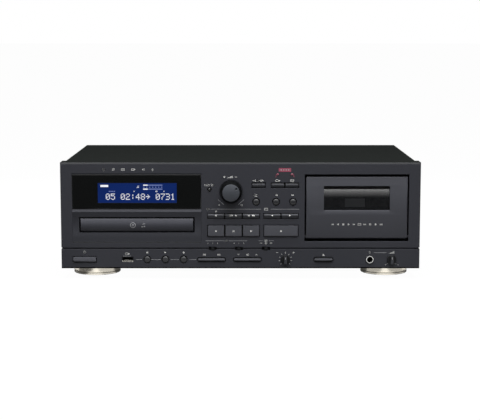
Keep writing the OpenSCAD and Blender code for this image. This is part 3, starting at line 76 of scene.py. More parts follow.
# Points nearer than MERGE are one, faces within FLAT are one, and edges past SHARP are rounded
MERGE = 0.002 * MM
FLAT = math.radians(0.5)
SHARP = math.radians(28)
# A face this near to a node's front belongs to the front
SKIN = 0.1 * MM
# Height of a figure, as a share of the size of its type
FIGURE_SHARE = 0.7


def linear(code):
    """Turns an sRGB hex value into linear red, green and blue."""
    parts = [(code >> shift & 255) / 255 for shift in (16, 8, 0)]
    return tuple(c / 12.92 if c <= 0.04045 else ((c + 0.055) / 1.055) ** 2.4 for c in parts)


def add(tree, kind, links=None, values=None, **settings):
    """Adds one node, with its settings, its sockets' values and the links into it."""
    node = tree.nodes.new(kind)
    for name, value in settings.items():
        setattr(node, name, value)
    for socket, value in (values or {}).items():
        node.inputs[socket].default_value = value
    for socket, source in (links or {}).items():
        tree.links.new(source, node.inputs[socket])
    return node


def blank(name):
    """Starts a material, and gives it with its tree and its shader."""
    material = bpy.data.materials.new(name)
    material.use_nodes = True
    return material, material.node_tree, material.node_tree.nodes["Principled BSDF"]


def finish(name, colour, other, patch, gloss, grain, relief, stretch=(1, 1, 1), **sockets):
    """Makes a finish: two close colours that drift over `patch`, a range of roughness, and a grain
    of `grain` across that stands `relief` high, drawn out along an axis by a small `stretch`."""
    material, tree, shader = blank(name)
    place = add(tree, "ShaderNodeTexCoord").outputs["Object"]
    drawn = add(tree, "ShaderNodeMapping", {"Vector": place}, {"Scale": stretch}).outputs["Vector"]
    drift = add(tree, "ShaderNodeTexNoise", {"Vector": place}, {"Scale": 1 / (patch * MM), "Detail": 3.0})
    grit = add(tree, "ShaderNodeTexNoise", {"Vector": drawn}, {"Scale": 1 / (grain * MM), "Detail": 2.0})
    tint = add(tree, "ShaderNodeMix", {0: drift.outputs["Fac"]},
               {6: (*colour, 1), 7: (*other, 1)}, data_type="RGBA")
    # The noise seldom leaves 0.3 to 0.7, so that span covers the whole range of roughness
    rough = add(tree, "ShaderNodeMapRange", {"Value": grit.outputs["Fac"]},
                {"From Min": 0.3, "From Max": 0.7, "To Min": gloss[0], "To Max": gloss[1]})
    bump = add(tree, "ShaderNodeBump", {"Height": grit.outputs["Fac"]},
               {"Strength": 1.0, "Distance": relief * MM})
    tree.links.new(tint.outputs[2], shader.inputs["Base Color"])
    tree.links.new(rough.outputs["Result"], shader.inputs["Roughness"])
    tree.links.new(bump.outputs["Normal"], shader.inputs["Normal"])
    for socket, value in sockets.items():
        shader.inputs[socket.replace("_", " ")].default_value = value
    return material


def lamp_finish(name, colour, glow, strength, patch):
    """Makes a self-lit finish whose light drifts a little over `patch`."""
    dimmer = tuple(c * 0.9 for c in colour)
    material = finish(name, colour, dimmer, patch, (0.2, 0.3), 0.4, 0.002, Specular_IOR_Level=0.1)
    tree = material.node_tree
    shader = tree.nodes["Principled BSDF"]
    place = add(tree, "ShaderNodeTexCoord").outputs["Object"]
    drift = add(tree, "ShaderNodeTexNoise", {"Vector": place}, {"Scale": 1 / (patch * MM), "Detail": 1.0})
    tint = add(tree, "ShaderNodeMix", {0: drift.outputs["Fac"]},
               {6: (*(c * 0.8 for c in glow), 1), 7: (*(c * 1.2 for c in glow), 1)}, data_type="RGBA")
    tree.links.new(tint.outputs[2], shader.inputs["Emission Color"])
    shader.inputs["Emission Strength"].default_value = strength
    return material


def piece(bm, name, body, finishes, smooth=30):
    """Turns a bmesh into a piece that rides on a body, shaded smooth over edges of less than `smooth`
    degrees."""
    mesh = bpy.data.meshes.new(name)
    bm.to_mesh(mesh)
    bm.free()
    if "custom_normal" in mesh.attributes:
        mesh.attributes.remove(mesh.attributes["custom_normal"])
    mesh.polygons.foreach_set("use_smooth", [True] * len(mesh.polygons))
    mesh.set_sharp_from_angle(angle=math.radians(smooth))
    for name_of_finish in finishes:
        mesh.materials.append(bpy.data.materials[name_of_finish])
    obj = bpy.data.objects.new(name, mesh)
    bpy.context.scene.collection.objects.link(obj)
    # Large flats keep their own direction, so the rounding stays at their edges
    even = obj.modifiers.new("even_shading", "WEIGHTED_NORMAL")
    even.keep_sharp = True
    even.weight = 100
    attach(obj, body)
    return obj


def dressed(node, *finishes, slot, edge=0.0, shortest=0.0, smooth=30, cuts=(), shape=None, pick=None):
    """Stands a merged copy of a CAD node in for it, its sharp edges longer than `shortest` rounded by
    `edge`. `cuts` are heights where faces are split so that a finish can end there, `shape` adds a
    small form, and `pick` takes a face's middle and normal and gives the number of its finish."""
    bm = bmesh.new()
    bm.from_mesh(frame["nodes"][node].data)
    bmesh.ops.remove_doubles(bm, verts=bm.verts, dist=MERGE)
    bmesh.ops.dissolve_limit(bm, angle_limit=FLAT, verts=bm.verts, edges=bm.edges)
    if edge:
        sharp = [e for e in bm.edges if e.is_manifold and e.calc_length() > shortest * MM
                 and e.calc_face_angle() > SHARP]
        bmesh.ops.bevel(bm, geom=sharp, offset=edge * MM, segments=2, profile=0.5,
                        affect="EDGES", material=-1, clamp_overlap=False)
    for height in cuts:
        bmesh.ops.bisect_plane(bm, geom=[*bm.verts, *bm.edges, *bm.faces],
                               plane_co=(0, 0, height), plane_no=(0, 0, 1))
    if shape:
        shape(bm)
        bm.normal_update()
    if pick:
        for face in bm.faces:
            face.material_index = pick(face.calc_center_median(), face.normal)
    obj = piece(bm, node + "_finish", BODY_OF[node], finishes, smooth)
    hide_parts(node)


def block(left, low, right, high):
    """A filled upright rectangle, as one form of a symbol."""
    return "fill", [(left, low), (right, low), (right, high), (left, high)]


# Print: symbols in a unit square, as filled shapes, strokes, arcs and discs
LEFT_PAIR = [("fill", [(0.0, -0.4), (0.0, 0.4), (-0.5, 0.0)]),
             ("fill", [(0.5, -0.4), (0.5, 0.4), (0.0, 0.0)])]
RIGHT_PAIR = [("fill", [(-0.5, -0.4), (0.0, 0.0), (-0.5, 0.4)]),
              ("fill", [(0.0, -0.4), (0.5, 0.0), (0.0, 0.4)])]
SYMBOLS = {
    "play": [("fill", [(-0.4, -0.5), (0.5, 0.0), (-0.4, 0.5)])],
    "reverse": [("fill", [(0.4, -0.5), (0.4, 0.5), (-0.5, 0.0)])],
    "stop": [block(-0.42, -0.42, 0.42, 0.42)],
    "pause": [block(-0.4, -0.45, -0.12, 0.45), block(0.12, -0.45, 0.4, 0.45)],
    "rewind": LEFT_PAIR,
    "forward": RIGHT_PAIR,
    "back": [*LEFT_PAIR, block(-0.68, -0.4, -0.52, 0.4)],
    "next": [*RIGHT_PAIR, block(0.52, -0.4, 0.68, 0.4)],
    "eject": [("fill", [(-0.5, -0.15), (0.5, -0.15), (0.0, 0.5)]), block(-0.5, -0.45, 0.5, -0.27)],
    "record": [("disc", (0.0, 0.0), 0.42)],
    "up": [("line", [(-0.5, -0.3), (0.0, 0.3), (0.5, -0.3)])],
    "down": [("line", [(-0.5, 0.3), (0.0, -0.3), (0.5, 0.3)])],
    "plus": [("line", [(-0.5, 0.0), (0.5, 0.0)]), ("line", [(0.0, -0.5), (0.0, 0.5)])],
    "minus": [("line", [(-0.5, 0.0), (0.5, 0.0)])],
    "power": [("arc", (0.0, 0.0), 0.42, 130, 410), ("line", [(0.0, 0.02), (0.0, 0.52)])],
    "loop": [("line", [(-0.3, 0.3), (0.5, 0.3)]), ("arc", (0.5, 0.0), 0.3, -90, 90),
             ("line", [(0.5, -0.3), (-0.5, -0.3)]), ("arc", (-0.5, 0.0), 0.3, 120, 270),
             ("fill", [(-0.35, 0.02), (0.02, 0.3), (-0.35, 0.58)])],
    "disc": [("arc", (0.0, 0.0), 0.45, 0, 360), ("arc", (0.0, 0.0), 0.14, 0, 360)],
    "cassette": [("line", [(-0.7, -0.42), (0.7, -0.42), (0.7, 0.42), (-0.7, 0.42), (-0.7, -0.42)]),
                 ("disc", (-0.3, 0.05), 0.14), ("disc", (0.3, 0.05), 0.14)],
    "stick": [("line", [(-0.6, -0.25), (0.2, -0.25), (0.2, 0.25), (-0.6, 0.25), (-0.6, -0.25)]),
              block(0.28, -0.16, 0.62, 0.16)],
    "voice": [block(-0.15, -0.05, 0.15, 0.35), ("disc", (0.0, 0.35), 0.15), ("disc", (0.0, -0.05), 0.15),
              ("arc", (0.0, 0.0), 0.3, 180, 360), ("line", [(0.0, -0.3), (0.0, -0.52)]),
              ("line", [(-0.2, -0.52), (0.2, -0.52)])],
    "speaker": [("fill", [(-0.5, -0.16), (-0.25, -0.16), (0.05, -0.42),
                          (0.05, 0.42), (-0.25, 0.16), (-0.5, 0.16)]),
                ("arc", (0.05, 0.0), 0.28, -50, 50), ("arc", (0.05, 0.0), 0.48, -50, 50)],
    "note": [("disc", (-0.25, -0.32), 0.18), ("disc", (0.35, -0.22), 0.18),
             ("line", [(-0.1, -0.3), (-0.1, 0.4)]), ("line", [(0.5, -0.2), (0.5, 0.5)]),
             ("line", [(-0.1, 0.4), (0.5, 0.5)])],
    "clock": [("arc", (0.0, 0.0), 0.45, 0, 360), ("line", [(0.0, 0.3), (0.0, 0.0), (0.22, -0.12)])],
    "input": [("line", [(-0.6, 0.0), (0.1, 0.0)]), ("fill", [(0.0, -0.3), (0.4, 0.0), (0.0, 0.3)]),
              ("line", [(0.55, -0.45), (0.55, 0.45)])],
    "turn": [("line", [(-0.5, 0.28), (0.35, 0.28)]), ("arc", (0.35, 0.0), 0.28, -90, 90),
             ("line", [(0.35, -0.28), (-0.3, -0.28)]),
             ("fill", [(-0.2, -0.55), (-0.2, 0.0), (-0.6, -0.28)])],
    "once": [("line", [(-0.5, 0.0), (0.3, 0.0)]), ("fill", [(0.2, -0.3), (0.6, 0.0), (0.2, 0.3)])],
    "ramp": [block(x / 8 - 0.53, -0.2, x / 8 - 0.46, x / 20 - 0.12) for x in range(9)],
}

# Figures of the display, seven rows of five dots
FIGURES = {
    "0": "01110 10001 10011 10101 11001 10001 01110",
    "1": "00100 01100 00100 00100 00100 00100 01110",
    "2": "01110 10001 00001 00110 01000 10000 11111",
    "3": "11110 00001 00001 01110 00001 00001 11110",
    "4": "00010 00110 01010 10010 11111 00010 00010",
    "5": "11111 10000 11110 00001 00001 10001 01110",
    "7": "11111 00001 00010 00100 01000 01000 01000",
    "8": "01110 10001 10001 01110 10001 10001 01110",
    ":": "00000 00100 00100 00000 00100 00100 00000",
    ">": "00000 00100 00010 11111 00010 00100 00000",
    " ": "",
}


def stroke(bm, points, width):
    """Lays a flat ribbon of `width` along the points, one quad a span."""
    for start, end in zip(points, points[1:]):
        start, end = Vector(start), Vector(end)
        run = end - start
        place = (Matrix.Translation((*(start + end) / 2, 0))
                 @ Matrix.Rotation(math.atan2(run.y, run.x), 4, "Z")
                 @ Matrix.Diagonal((run.length + width * 0.6, width, 1, 1)))
        bmesh.ops.create_grid(bm, x_segments=1, y_segments=1, size=0.5, matrix=place)


def curve_points(middle, radius, start, end):
    """Points along an arc, about one for every 15 degrees."""
    steps = max(3, round(abs(end - start) / 15))
    turns = [math.radians(start + (end - start) * i / steps) for i in range(steps + 1)]
    return [(middle[0] + radius * math.cos(a), middle[1] + radius * math.sin(a)) for a in turns]


def draw(bm, symbol, at, size, width):
    """Draws one symbol, flat in x and y, `size` across."""
    def spot(point):
        return (at[0] + point[0] * size, at[1] + point[1] * size)

    for form, *shape in SYMBOLS[symbol]:
        if form == "fill":
            bm.faces.new([bm.verts.new((*spot(p), 0)) for p in shape[0]])
        elif form == "line":
            stroke(bm, [spot(p) for p in shape[0]], width)
        elif form == "arc":
            middle, radius, start, end = shape
            stroke(bm, curve_points(spot(middle), radius * size, start, end), width)
        else:
            place = Matrix.Translation((*spot(shape[0]), 0))
            bmesh.ops.create_circle(bm, cap_ends=True, segments=20, radius=shape[1] * size, matrix=place)


def write(bm, text, at, height):
    """Sets plain figures, middled on a point and `height` tall."""
    words = bpy.data.curves.new("figures", "FONT")
    words.body = text
    words.size = height / FIGURE_SHARE
    words.align_x = "CENTER"
    holder = bpy.data.objects.new("figures", words)
    mesh = holder.to_mesh()
    mesh.transform(Matrix.Translation((at[0], at[1] - height / 2, 0)))
    bm.from_mesh(mesh)
    holder.to_mesh_clear()
    bpy.data.objects.remove(holder)
    bpy.data.curves.remove(words)


def stand(bm, out):
    """Stands flat marks up on a face. `out` is how far that face is in front of the panel, or a
    function of z that gives it."""
    gap = bpy.context.scene.deck_sizes.print_gap
    for vert in bm.verts:
        x, z, _ = vert.co
        front = out(z) if callable(out) else out
        vert.co = (x * MM, FACE_Y - front * MM - gap, EDGE_Z + z * MM)
    bm.normal_update()
    bmesh.ops.reverse_faces(bm, faces=[f for f in bm.faces if f.normal.y > 0])


def printed(name, body, ink, marks, out, width):
    """Prints marks on a face that is `out` in front of the panel. A mark is (symbol or figures, x, z,
    size) or a list of points that a stroke follows, and strokes are `width` wide."""
    bm = bmesh.new()
    for mark in marks:
        if isinstance(mark, list):
            stroke(bm, mark, width)
        elif mark[0] in SYMBOLS:
            draw(bm, mark[0], mark[1:3], mark[3], width)
        else:
            write(bm, mark[0], mark[1:3], mark[3])
    stand(bm, out)
    piece(bm, name, body, [ink])


def middle(node):
    """A node's middle on the front, as x and z."""
    low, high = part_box(node)
    return (low.x + high.x) / 2 / MM, ((low.z + high.z) / 2 - EDGE_Z) / MM


def key_face(node, ridge):
    """How far a key's face stands out at a height above its ridge, as the frame shapes it: from its
    full rise there down to half of it at the top."""
    low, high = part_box(node)
    flange, fall = 1.8, 0.5
    bottom, top = (low.z - EDGE_Z) / MM + flange, (high.z - EDGE_Z) / MM - flange
    proud = (FACE_Y - low.y) / MM
    crest = bottom + ridge * (top - bottom)
    return lambda z: proud * (1 - fall * (z - crest) / (top - crest))


def crowned_face(node, proud, crown, edge):
    """How far a crowned face stands out at a height: `proud` at its middle, and `crown` less where
    its edge of `edge` starts."""
    low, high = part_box(node)
    rise, half = middle(node)[1], (high.z - low.z) / 2 / MM - edge
    return lambda z: proud - crown * ((z - rise) / half) ** 2


def screws(name, places, axis, radius):
    """Black cross-head screws at points in metres, their heads facing along `axis`."""
    tall, rim, dish, cross = 1.4 * MM, 0.35 * MM, 0.25 * MM, 1.5 * MM
    bar = Matrix.Diagonal((radius * 1.1 * MM, 0.7 * MM, 0.4 * MM, 1))
    bm = bmesh.new()
    turn = Vector(axis).to_track_quat("Z", "Y").to_matrix().to_4x4()
    for place in places:
        at = Matrix.Translation(place) @ turn
        head = bmesh.ops.create_cone(bm, cap_ends=True, segments=24, radius1=radius * MM,
                                     radius2=radius * 0.8 * MM, depth=tall,
                                     matrix=at @ Matrix.Translation((0, 0, tall / 2)))
        top = max({f for v in head["verts"] for f in v.link_faces if len(f.verts) > 4},
                  key=lambda f: (at.inverted() @ f.calc_center_median()).z)
        bmesh.ops.inset_region(bm, faces=[top], thickness=rim, depth=dish)
        for angle in (0, 90):
            spin = Matrix.Rotation(math.radians(angle), 4, "Z") @ Matrix.Translation((0, 0, cross))
            bmesh.ops.create_cube(bm, size=1, matrix=at @ spin @ bar)
    piece(bm, name, "cabinet", ["carbon_black_moulding"])


def seen(tree):
    """Gives 1 where a surface is looked at, mirrored or seen through a pane, and 0 where it only
    sends light."""
    path = add(tree, "ShaderNodeLightPath")
    share = path.outputs["Is Camera Ray"]
    for ray in ("Is Glossy Ray", "Is Transmission Ray"):
        share = add(tree, "ShaderNodeMath", {0: share, 1: path.outputs[ray]},
                    operation="ADD", use_clamp=True).outputs[0]
    return share


def stage_sheet(name, place, width, depth):
    """Makes a flat sheet of the stage, in metres."""
    bm = bmesh.new()
    bmesh.ops.create_grid(bm, x_segments=1, y_segments=1, size=0.5,
                          matrix=place @ Matrix.Diagonal((width, depth, 1, 1)))
    mesh = bpy.data.meshes.new(name)
    bm.to_mesh(mesh)
    bm.free()
    obj = bpy.data.objects.new(name, mesh)
    bpy.context.scene.collection.objects.link(obj)
    return obj


class DeckSizes(bpy.types.PropertyGroup):
    """Small sizes of the finish, and where the camera stands."""

    print_gap: FloatProperty(
        name="Print height", description="How far print stands off its face",
        default=0.05 * MM, unit="LENGTH")
    panel_edge: FloatProperty(
        name="Panel edges", description="Rounding of the panel's cut edges",
        default=0.25 * MM, unit="LENGTH")
    key_edge: FloatProperty(
        name="Key edges", description="Rounding of the keys' edges",
        default=0.3 * MM, unit="LENGTH")
    knob_dome: FloatProperty(
        name="Knob dome", description="Rise of the level knob's domed face",
        default=1.2 * MM, unit="LENGTH")
    camera_back: FloatProperty(
        name="Camera distance", description="From the front face to the camera",
        default=1.619, unit="LENGTH")
    camera_height: FloatProperty(
        name="Camera height", description="Height of the camera over the floor",
        default=0.300, unit="LENGTH")
    camera_side: FloatProperty(
        name="Camera side", description="How far the camera stands to the right of the middle",
        default=-0.59 * MM, unit="LENGTH")
    aim_height: FloatProperty(
        name="Aim height", description="Height on the front face that the camera looks at",
        default=0.0848, unit="LENGTH")
    lens: FloatProperty(
        name="Lens", description="Focal length in mm", default=101.36)


class DeckColours(bpy.types.PropertyGroup):
    """Colours of the main finishes."""

    panel: FloatVectorProperty(
        name="Panel", description="Satin paint of the front panel",
        subtype="COLOR", default=linear(0x313238))
    door: FloatVectorProperty(
        name="Door", description="Satin paint of the cassette door",
        subtype="COLOR", default=linear(0x414248))
    drawer: FloatVectorProperty(
        name="Drawer", description="Satin paint of the drawer's front",
        subtype="COLOR", default=linear(0x3B3C43))
    key: FloatVectorProperty(
        name="Keys", description="Moulding of the keys",
        subtype="COLOR", default=linear(0x3A3B40))
    large_key: FloatVectorProperty(
        name="Large keys", description="Moulding of the large keys",
        subtype="COLOR", default=linear(0x46474D))
    # Painted light: colour of the lit band painted across the pill keys
    bar: FloatVectorProperty(
        name="Bars", description="Light bar along the pill keys",
        subtype="COLOR", default=linear(0x5C5D63))
    knob: FloatVectorProperty(
        name="Knob", description="Moulding of the level knob",
        subtype="COLOR", default=linear(0x43464C))
    cover: FloatVectorProperty(
        name="Cover", description="Textured paint of the top cover",
        subtype="COLOR", default=linear(0x101211))
    foot: FloatVectorProperty(
        name="Feet", description="Anodising of the feet",
        subtype="COLOR", default=linear(0xE8E2D4))
    display: FloatVectorProperty(
        name="Display", description="Backlight of the display",
        subtype="COLOR", default=linear(0x0D2258))
    ink: FloatVectorProperty(
        name="Print", description="White print",
        subtype="COLOR", default=linear(0xD9D9D6))
    red_ink: FloatVectorProperty(
        name="Red print", description="Red print and lamps",
        subtype="COLOR", default=linear(0x983C54))


class DeckLights(bpy.types.PropertyGroup):
    """Strengths of the studio lights."""

    overhead: FloatProperty(
        name="Overhead", description="Softbox above the deck", default=57.0, unit="POWER")
    front: FloatProperty(
        name="Front", description="Softbox behind the camera", default=2.5, unit="POWER")
    behind: FloatProperty(
        name="Behind", description="Low softboxes beside and behind the deck", default=8.0, unit="POWER")
    ambient: FloatProperty(
        name="Ambient", description="Light from all round", default=0.1)


class DECK_OT_finishes(bpy.types.Operator):
    """Makes the deck's finishes"""

    bl_idname = "deck.finishes"
    bl_label = "Make finishes"

    def execute(self, context):
        colours = context.scene.deck_colours

        def near(colour, share):
            return tuple(c * share for c in colour)

        # Paint sprayed on moulded plastic: even, soft sheen, a grit too fine to feel
        for name, colour in (("satin_charcoal_paint", colours.panel), ("satin_door_paint", colours.door),
                             ("satin_drawer_paint", colours.drawer)):
            finish(name, colour, near(colour, 1.08), 40, (0.42, 0.5), 0.35, 0.006, Specular_IOR_Level=0.18)
        # Moulded key plastic: a little smoother than the paint, so its rounded edges catch light. The bar
        # finish is painted light, the lit band on the pills
        for name, colour in (("satin_key_moulding", colours.key),
                             ("satin_large_key_moulding", colours.large_key),
                             ("painted_light_bar_moulding", colours.bar), ("satin_knob_moulding", colours.knob)):
            finish(name, colour, near(colour, 1.08), 15, (0.38, 0.46), 0.3, 0.004, Specular_IOR_Level=0.2)
        # Textured paint on folded steel: dull, with an orange-peel skin. On the panel's top face and the
        # ledge at its groove it is painted shade
        finish("textured_black_steel", colours.cover, near(colours.cover, 1.15), 30, (0.55, 0.7), 0.9, 0.03,
               Specular_IOR_Level=0.06)
        # The same paint in dark grey on the rear panel: black screws and sockets stand out from it
        finish("textured_grey_steel", linear(0x2E2F31), linear(0x343537), 30, (0.5, 0.65), 0.9, 0.03,
               Specular_IOR_Level=0.2)
        # Polished black acrylic: deep and clean, sharp reflections
        finish("polished_black_acrylic", linear(0x151616), linear(0x171818), 60, (0.05, 0.08), 3, 0.001)
        # Smoked acrylic pane: dark, see-through, glossy
        finish("smoked_acrylic", linear(0x0D0E11), linear(0x101114), 60, (0.2, 0.24), 3, 0.001,
               IOR=1.49, Alpha=0.85, Specular_IOR_Level=0.6)
        # Anodised aluminium turned on a lathe: champagne, fine rings round the foot
        finish("champagne_anodised_aluminium", colours.foot, near(colours.foot, 0.9), 8, (0.2, 0.3), 0.3,
               0.04, (0.04, 0.04, 1), Metallic=1.0)
        # Nickel plate: bright, slightly warm
        finish("bright_nickel_plate", linear(0xC3C0B8), linear(0xB5B2AA), 6, (0.16, 0.26), 0.3, 0.003,
               Metallic=1.0)
        # Satin nickel plate round the jack: pale and soft, with hardly a mirror in it
        finish("satin_nickel_plate", linear(0xF0F0EE), linear(0xE6E6E4), 6, (0.34, 0.44), 0.3, 0.003,
               Metallic=0.1)
        # Zinc-plated steel: dull grey metal with a faint cloud
        finish("zinc_plated_steel", linear(0x8E9193), linear(0xA2A4A5), 9, (0.36, 0.5), 0.5, 0.006,
               Metallic=1.0)
        # Round buttons: black, polished in the mould
        finish("gloss_button_moulding", linear(0x232427), linear(0x28292C), 10, (0.2, 0.28), 0.4, 0.002)
        # Inner mouldings: nearly black, matt. It is also painted shade on the display window's upward faces
        # and on the pills above and below their lit band
        finish("carbon_black_moulding", linear(0x0E0F11), linear(0x121315), 12, (0.5, 0.6), 0.5, 0.01,
               Specular_IOR_Level=0.15)
        # Matt black moulding of the level knob's grip, its black partly painted shade round the knob, and
        # painted shade on the panel's lower edge: swallows the light
        finish("matt_black_moulding", linear(0x08090A), linear(0x0B0C0D), 12, (0.6, 0.75), 0.5, 0.01,
               Specular_IOR_Level=0.03)
        # Dark satin moulding of the tape frame, and painted shade on the panel's brow that dims its shine:
        # between the paint and the black
        finish("dark_satin_moulding", linear(0x202124), linear(0x26272A), 12, (0.42, 0.52), 0.5, 0.01,
               Specular_IOR_Level=0.15)
        # Natural acetal: milky, waxy
        finish("natural_acetal", linear(0xD8D4C8), linear(0xCFCABD), 8, (0.32, 0.4), 0.4, 0.004,
               Subsurface_Weight=0.1)
        # Solder mask on glass epoxy: green and semi-gloss, cloudy where tracks run under it
        finish("green_solder_mask", linear(0x17452F), linear(0x225C3E), 3, (0.25, 0.4), 0.8, 0.01)
        # Black solder mask on the board behind the panel: duller, lost in the panel's openings
        finish("black_solder_mask", linear(0x0C0D0D), linear(0x121413), 3, (0.35, 0.5), 0.8, 0.01)
        # Enamelled copper winding: reddish metal in fine upright lines
        finish("copper_winding", linear(0x9A5A2C), linear(0xB06A35), 2, (0.3, 0.4), 0.5, 0.03, (1, 1, 0.1),
               Metallic=0.7)
        # Core of stacked steel sheets: grey metal in fine level lines
        finish("laminated_steel", linear(0x5A5C5F), linear(0x6C6E70), 4, (0.4, 0.55), 0.5, 0.02,
               (0.05, 0.05, 1), Metallic=1.0)
        # Rubber: matt black
        finish("black_rubber", linear(0x121212), linear(0x191919), 5, (0.7, 0.85), 0.6, 0.02)
        # Moulded insulators of the sockets: clean colour, half gloss
        finish("white_insulator", linear(0xD6D4CC), linear(0xCCC9C0), 4, (0.3, 0.4), 0.4, 0.004)
        finish("red_insulator", linear(0xA31F22), linear(0x92191C), 4, (0.3, 0.4), 0.4, 0.004)
        # Screen-printed ink: flat, slightly raised
        for name, colour, other in (("white_print_ink", colours.ink, near(colours.ink, 0.9)),
                                    ("red_print_ink", colours.red_ink, near(colours.red_ink, 0.85)),
                                    ("grey_print_ink", linear(0x9C9DA0), linear(0x929397))):
            finish(name, colour, other, 3, (0.5, 0.6), 0.2, 0.002)
        # Painted light: a smoke-grey field printed on the pane, a shade lighter than the acrylic, where the
        # lit mechanism behind it shows through
        finish("painted_light_smoke_ink", linear(0x1D1E20), linear(0x202123), 9, (0.3, 0.4), 0.4, 0.002,
               Specular_IOR_Level=0.2)
        # Unlit lamp lens: pale red, smooth
        finish("red_lamp_lens", linear(0x8E4C5A), linear(0x7A3848), 1.5, (0.15, 0.25), 0.4, 0.002)
        # Backlit display: blue field, white segments, faint unlit ones
        lamp_finish("blue_backlight", near(colours.display, 0.2), colours.display, 1.0, 60)
        lamp_finish("lit_segment", linear(0x202020), linear(0xF2F4FA), 1.0, 2)
        lamp_finish("dim_segment", linear(0x202020), linear(0x6F7FB4), 1.0, 2)
        return {"FINISHED"}


class DECK_OT_cabinet(bpy.types.Operator):
    """Dresses the cover, base, rear panel and feet, and adds their screws"""

    bl_idname = "deck.cabinet"
    bl_label = "Dress cabinet"

    def execute(self, context):
        sole = 0.5 * MM
        dressed("top_cover", "textured_black_steel", edge=0.3, shortest=1.5, slot="cover")
        dressed("chassis_base", "zinc_plated_steel", slot="zinc")
        dressed("rear_panel", "textured_grey_steel", edge=0.2, shortest=1.5, slot="cover")
        dressed("feet", "champagne_anodised_aluminium", "black_rubber", edge=0.3, slot="foot",
                pick=lambda at, out: int(at.z < sole))
        low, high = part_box("top_cover")
        for name, x, side in (("left", low.x, -1), ("right", high.x, 1)):
            spots = [(x, y, 40 * MM) for y in (FACE_Y + 30 * MM, REAR_Y - 20 * MM)]
            screws("cover_screws_" + name, spots, (side, 0, 0), 3.2)
        spots = [(x * MM, REAR_Y, z * MM) for x in (-190, -60, 190) for z in (24, 128)]
        screws("rear_screws", spots, (0, 1, 0), 2.6)
        return {"FINISHED"}


class DECK_OT_panel(bpy.types.Operator):
    """Dresses the front panel and the display window"""

    bl_idname = "deck.panel"
    bl_label = "Dress front panel"

    def execute(self, context):
        edge = context.scene.deck_sizes.panel_edge / MM
        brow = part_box("front_panel")[1].z - 0.2 * MM
        groove, sill = EDGE_Z + 33 * MM, EDGE_Z + 3 * MM
        paint, black, dark, matt = range(4)

        def painted_shade_by_facing(at, out):
            """Paints shade by facing: darker finishes on the top face, the ledge at the groove, the brow and
            the lower edge, where the light falls differently.
            """
            on_top = at.z > brow and out.z > 0.9
            in_groove = abs(at.z - groove) < 1.5 * MM and 0.5 < out.z < 0.9
            if on_top or in_groove:
                return black
            if at.z < sill and out.z < -0.2:
                return matt
            return dark if at.z > brow - 2 * MM and out.z > 0.3 else paint

        # Painted shade: the panel's top face, groove ledge, brow and lower edge get darker finishes than its
        # paint
        dressed("front_panel", "satin_charcoal_paint", "textured_black_steel", "dark_satin_moulding",
                "matt_black_moulding", edge=edge, shortest=2.5, slot="panel", smooth=10, pick=painted_shade_by_facing)
        # Painted shade: the window's upward faces get a dull black in place of the polished acrylic, dimming
        # the shine they would catch from above
        dressed("display_window", "polished_black_acrylic", "carbon_black_moulding", edge=0.15,
                slot="window", pick=lambda at, out: int(out.z > 0.2))
        return {"FINISHED"}


class DECK_OT_display(bpy.types.Operator):
    """Lights the display with plain figures and bars"""

    bl_idname = "deck.display"
    bl_label = "Light display"

    def execute(self, context):
        sunk = 0.2
        glass = FACE_Y + sunk * MM
        dressed("lcd_module", "blue_backlight", "carbon_black_moulding", slot="lcd",
                pick=lambda at, out: int(abs(at.y - glass) > SKIN))
        # Figures of dots, seven rows of five in a cell of six, each dot a little smaller than its place
        pitch, height, left, base, fill = 6.03, 7.6, -162.6, 84.2, 0.84
        wide, tall = pitch / 6, height / 7
        dot = Matrix.Diagonal((wide * fill, tall * fill, 1, 1))
        bm = bmesh.new()
        for place, figure in enumerate("05 02:48> 0731"):
            for row, line in enumerate(FIGURES[figure].split()):
                for column, lit in enumerate(line):
                    if lit == "1":
                        at = Matrix.Translation((left + place * pitch + (column + 0.5) * wide,
                                                 base + (6.5 - row) * tall, 0))
                        bmesh.ops.create_grid(bm, x_segments=1, y_segments=1, size=0.5, matrix=at @ dot)
        stand(bm, -sunk)
        piece(bm, "display_figures", "cabinet", ["lit_segment"])

        def dashes(start, step, count, length, *heights):
            """Level dashes in a row, the same at each height."""
            lefts = [start + step * place for place in range(count)]
            return [[(x, z), (x + length, z)] for z in heights for x in lefts]

        badges = dashes(-168.6, 3.1, 3, 2.5, 100.4, 101.6) + dashes(-117.0, 0.0, 1, 4.6, 97.2, 102.0)
        printed("display_badges", "cabinet", "lit_segment", badges, -sunk, 1.3)
        signs = [("play", -128.2, 94.4, 1.4), ("play", -92.2, 94.4, 1.4), ("cassette", -101.4, 94.4, 1.4),
                 ("note", -124.0, 99.9, 2.6)]
        printed("display_signs", "cabinet", "lit_segment", signs, -sunk, 0.3)
        ticks = dashes(-111.4, 2.2, 8, 1.5, 97.2, 102.0)
        ticks += dashes(-117.0, 3.6, 7, 0.7, 99.6)
        ticks += dashes(-158.6, 2.0, 4, 0.8, 94.4)
        printed("display_ticks", "cabinet", "dim_segment", ticks, -sunk, 1.1)
        return {"FINISHED"}


class DECK_OT_drawer(bpy.types.Operator):
    """Dresses the disc drawer and its loader"""

    bl_idname = "deck.drawer"
    bl_label = "Dress disc drawer"

    def execute(self, context):
        dressed("tray_front", "satin_drawer_paint", edge=0.3, slot="drawer")
        dressed("cd_tray", "carbon_black_moulding", edge=0.2, shortest=2.5, slot="inner_plastic")
        dressed("cd_loader_frame", "carbon_black_moulding", slot="inner_plastic")
        dressed("loading_gear", "natural_acetal", slot="gear_plastic")
        dressed("cd_turntable", "carbon_black_moulding", slot="inner_plastic")
        dressed("disc_clamp", "satin_charcoal_paint", slot="inner_plastic")
        dressed("laser_sled", "zinc_plated_steel", slot="zinc")
        signs = [("disc", -130.2, 53.4, 6.8), ("note", -118.0, 52.8, 4.6)]
        face = crowned_face("tray_front", proud=0.8, crown=1.8, edge=1.0)
        printed("drawer_signs", "tray", "grey_print_ink", signs, face, 0.7)
        return {"FINISHED"}


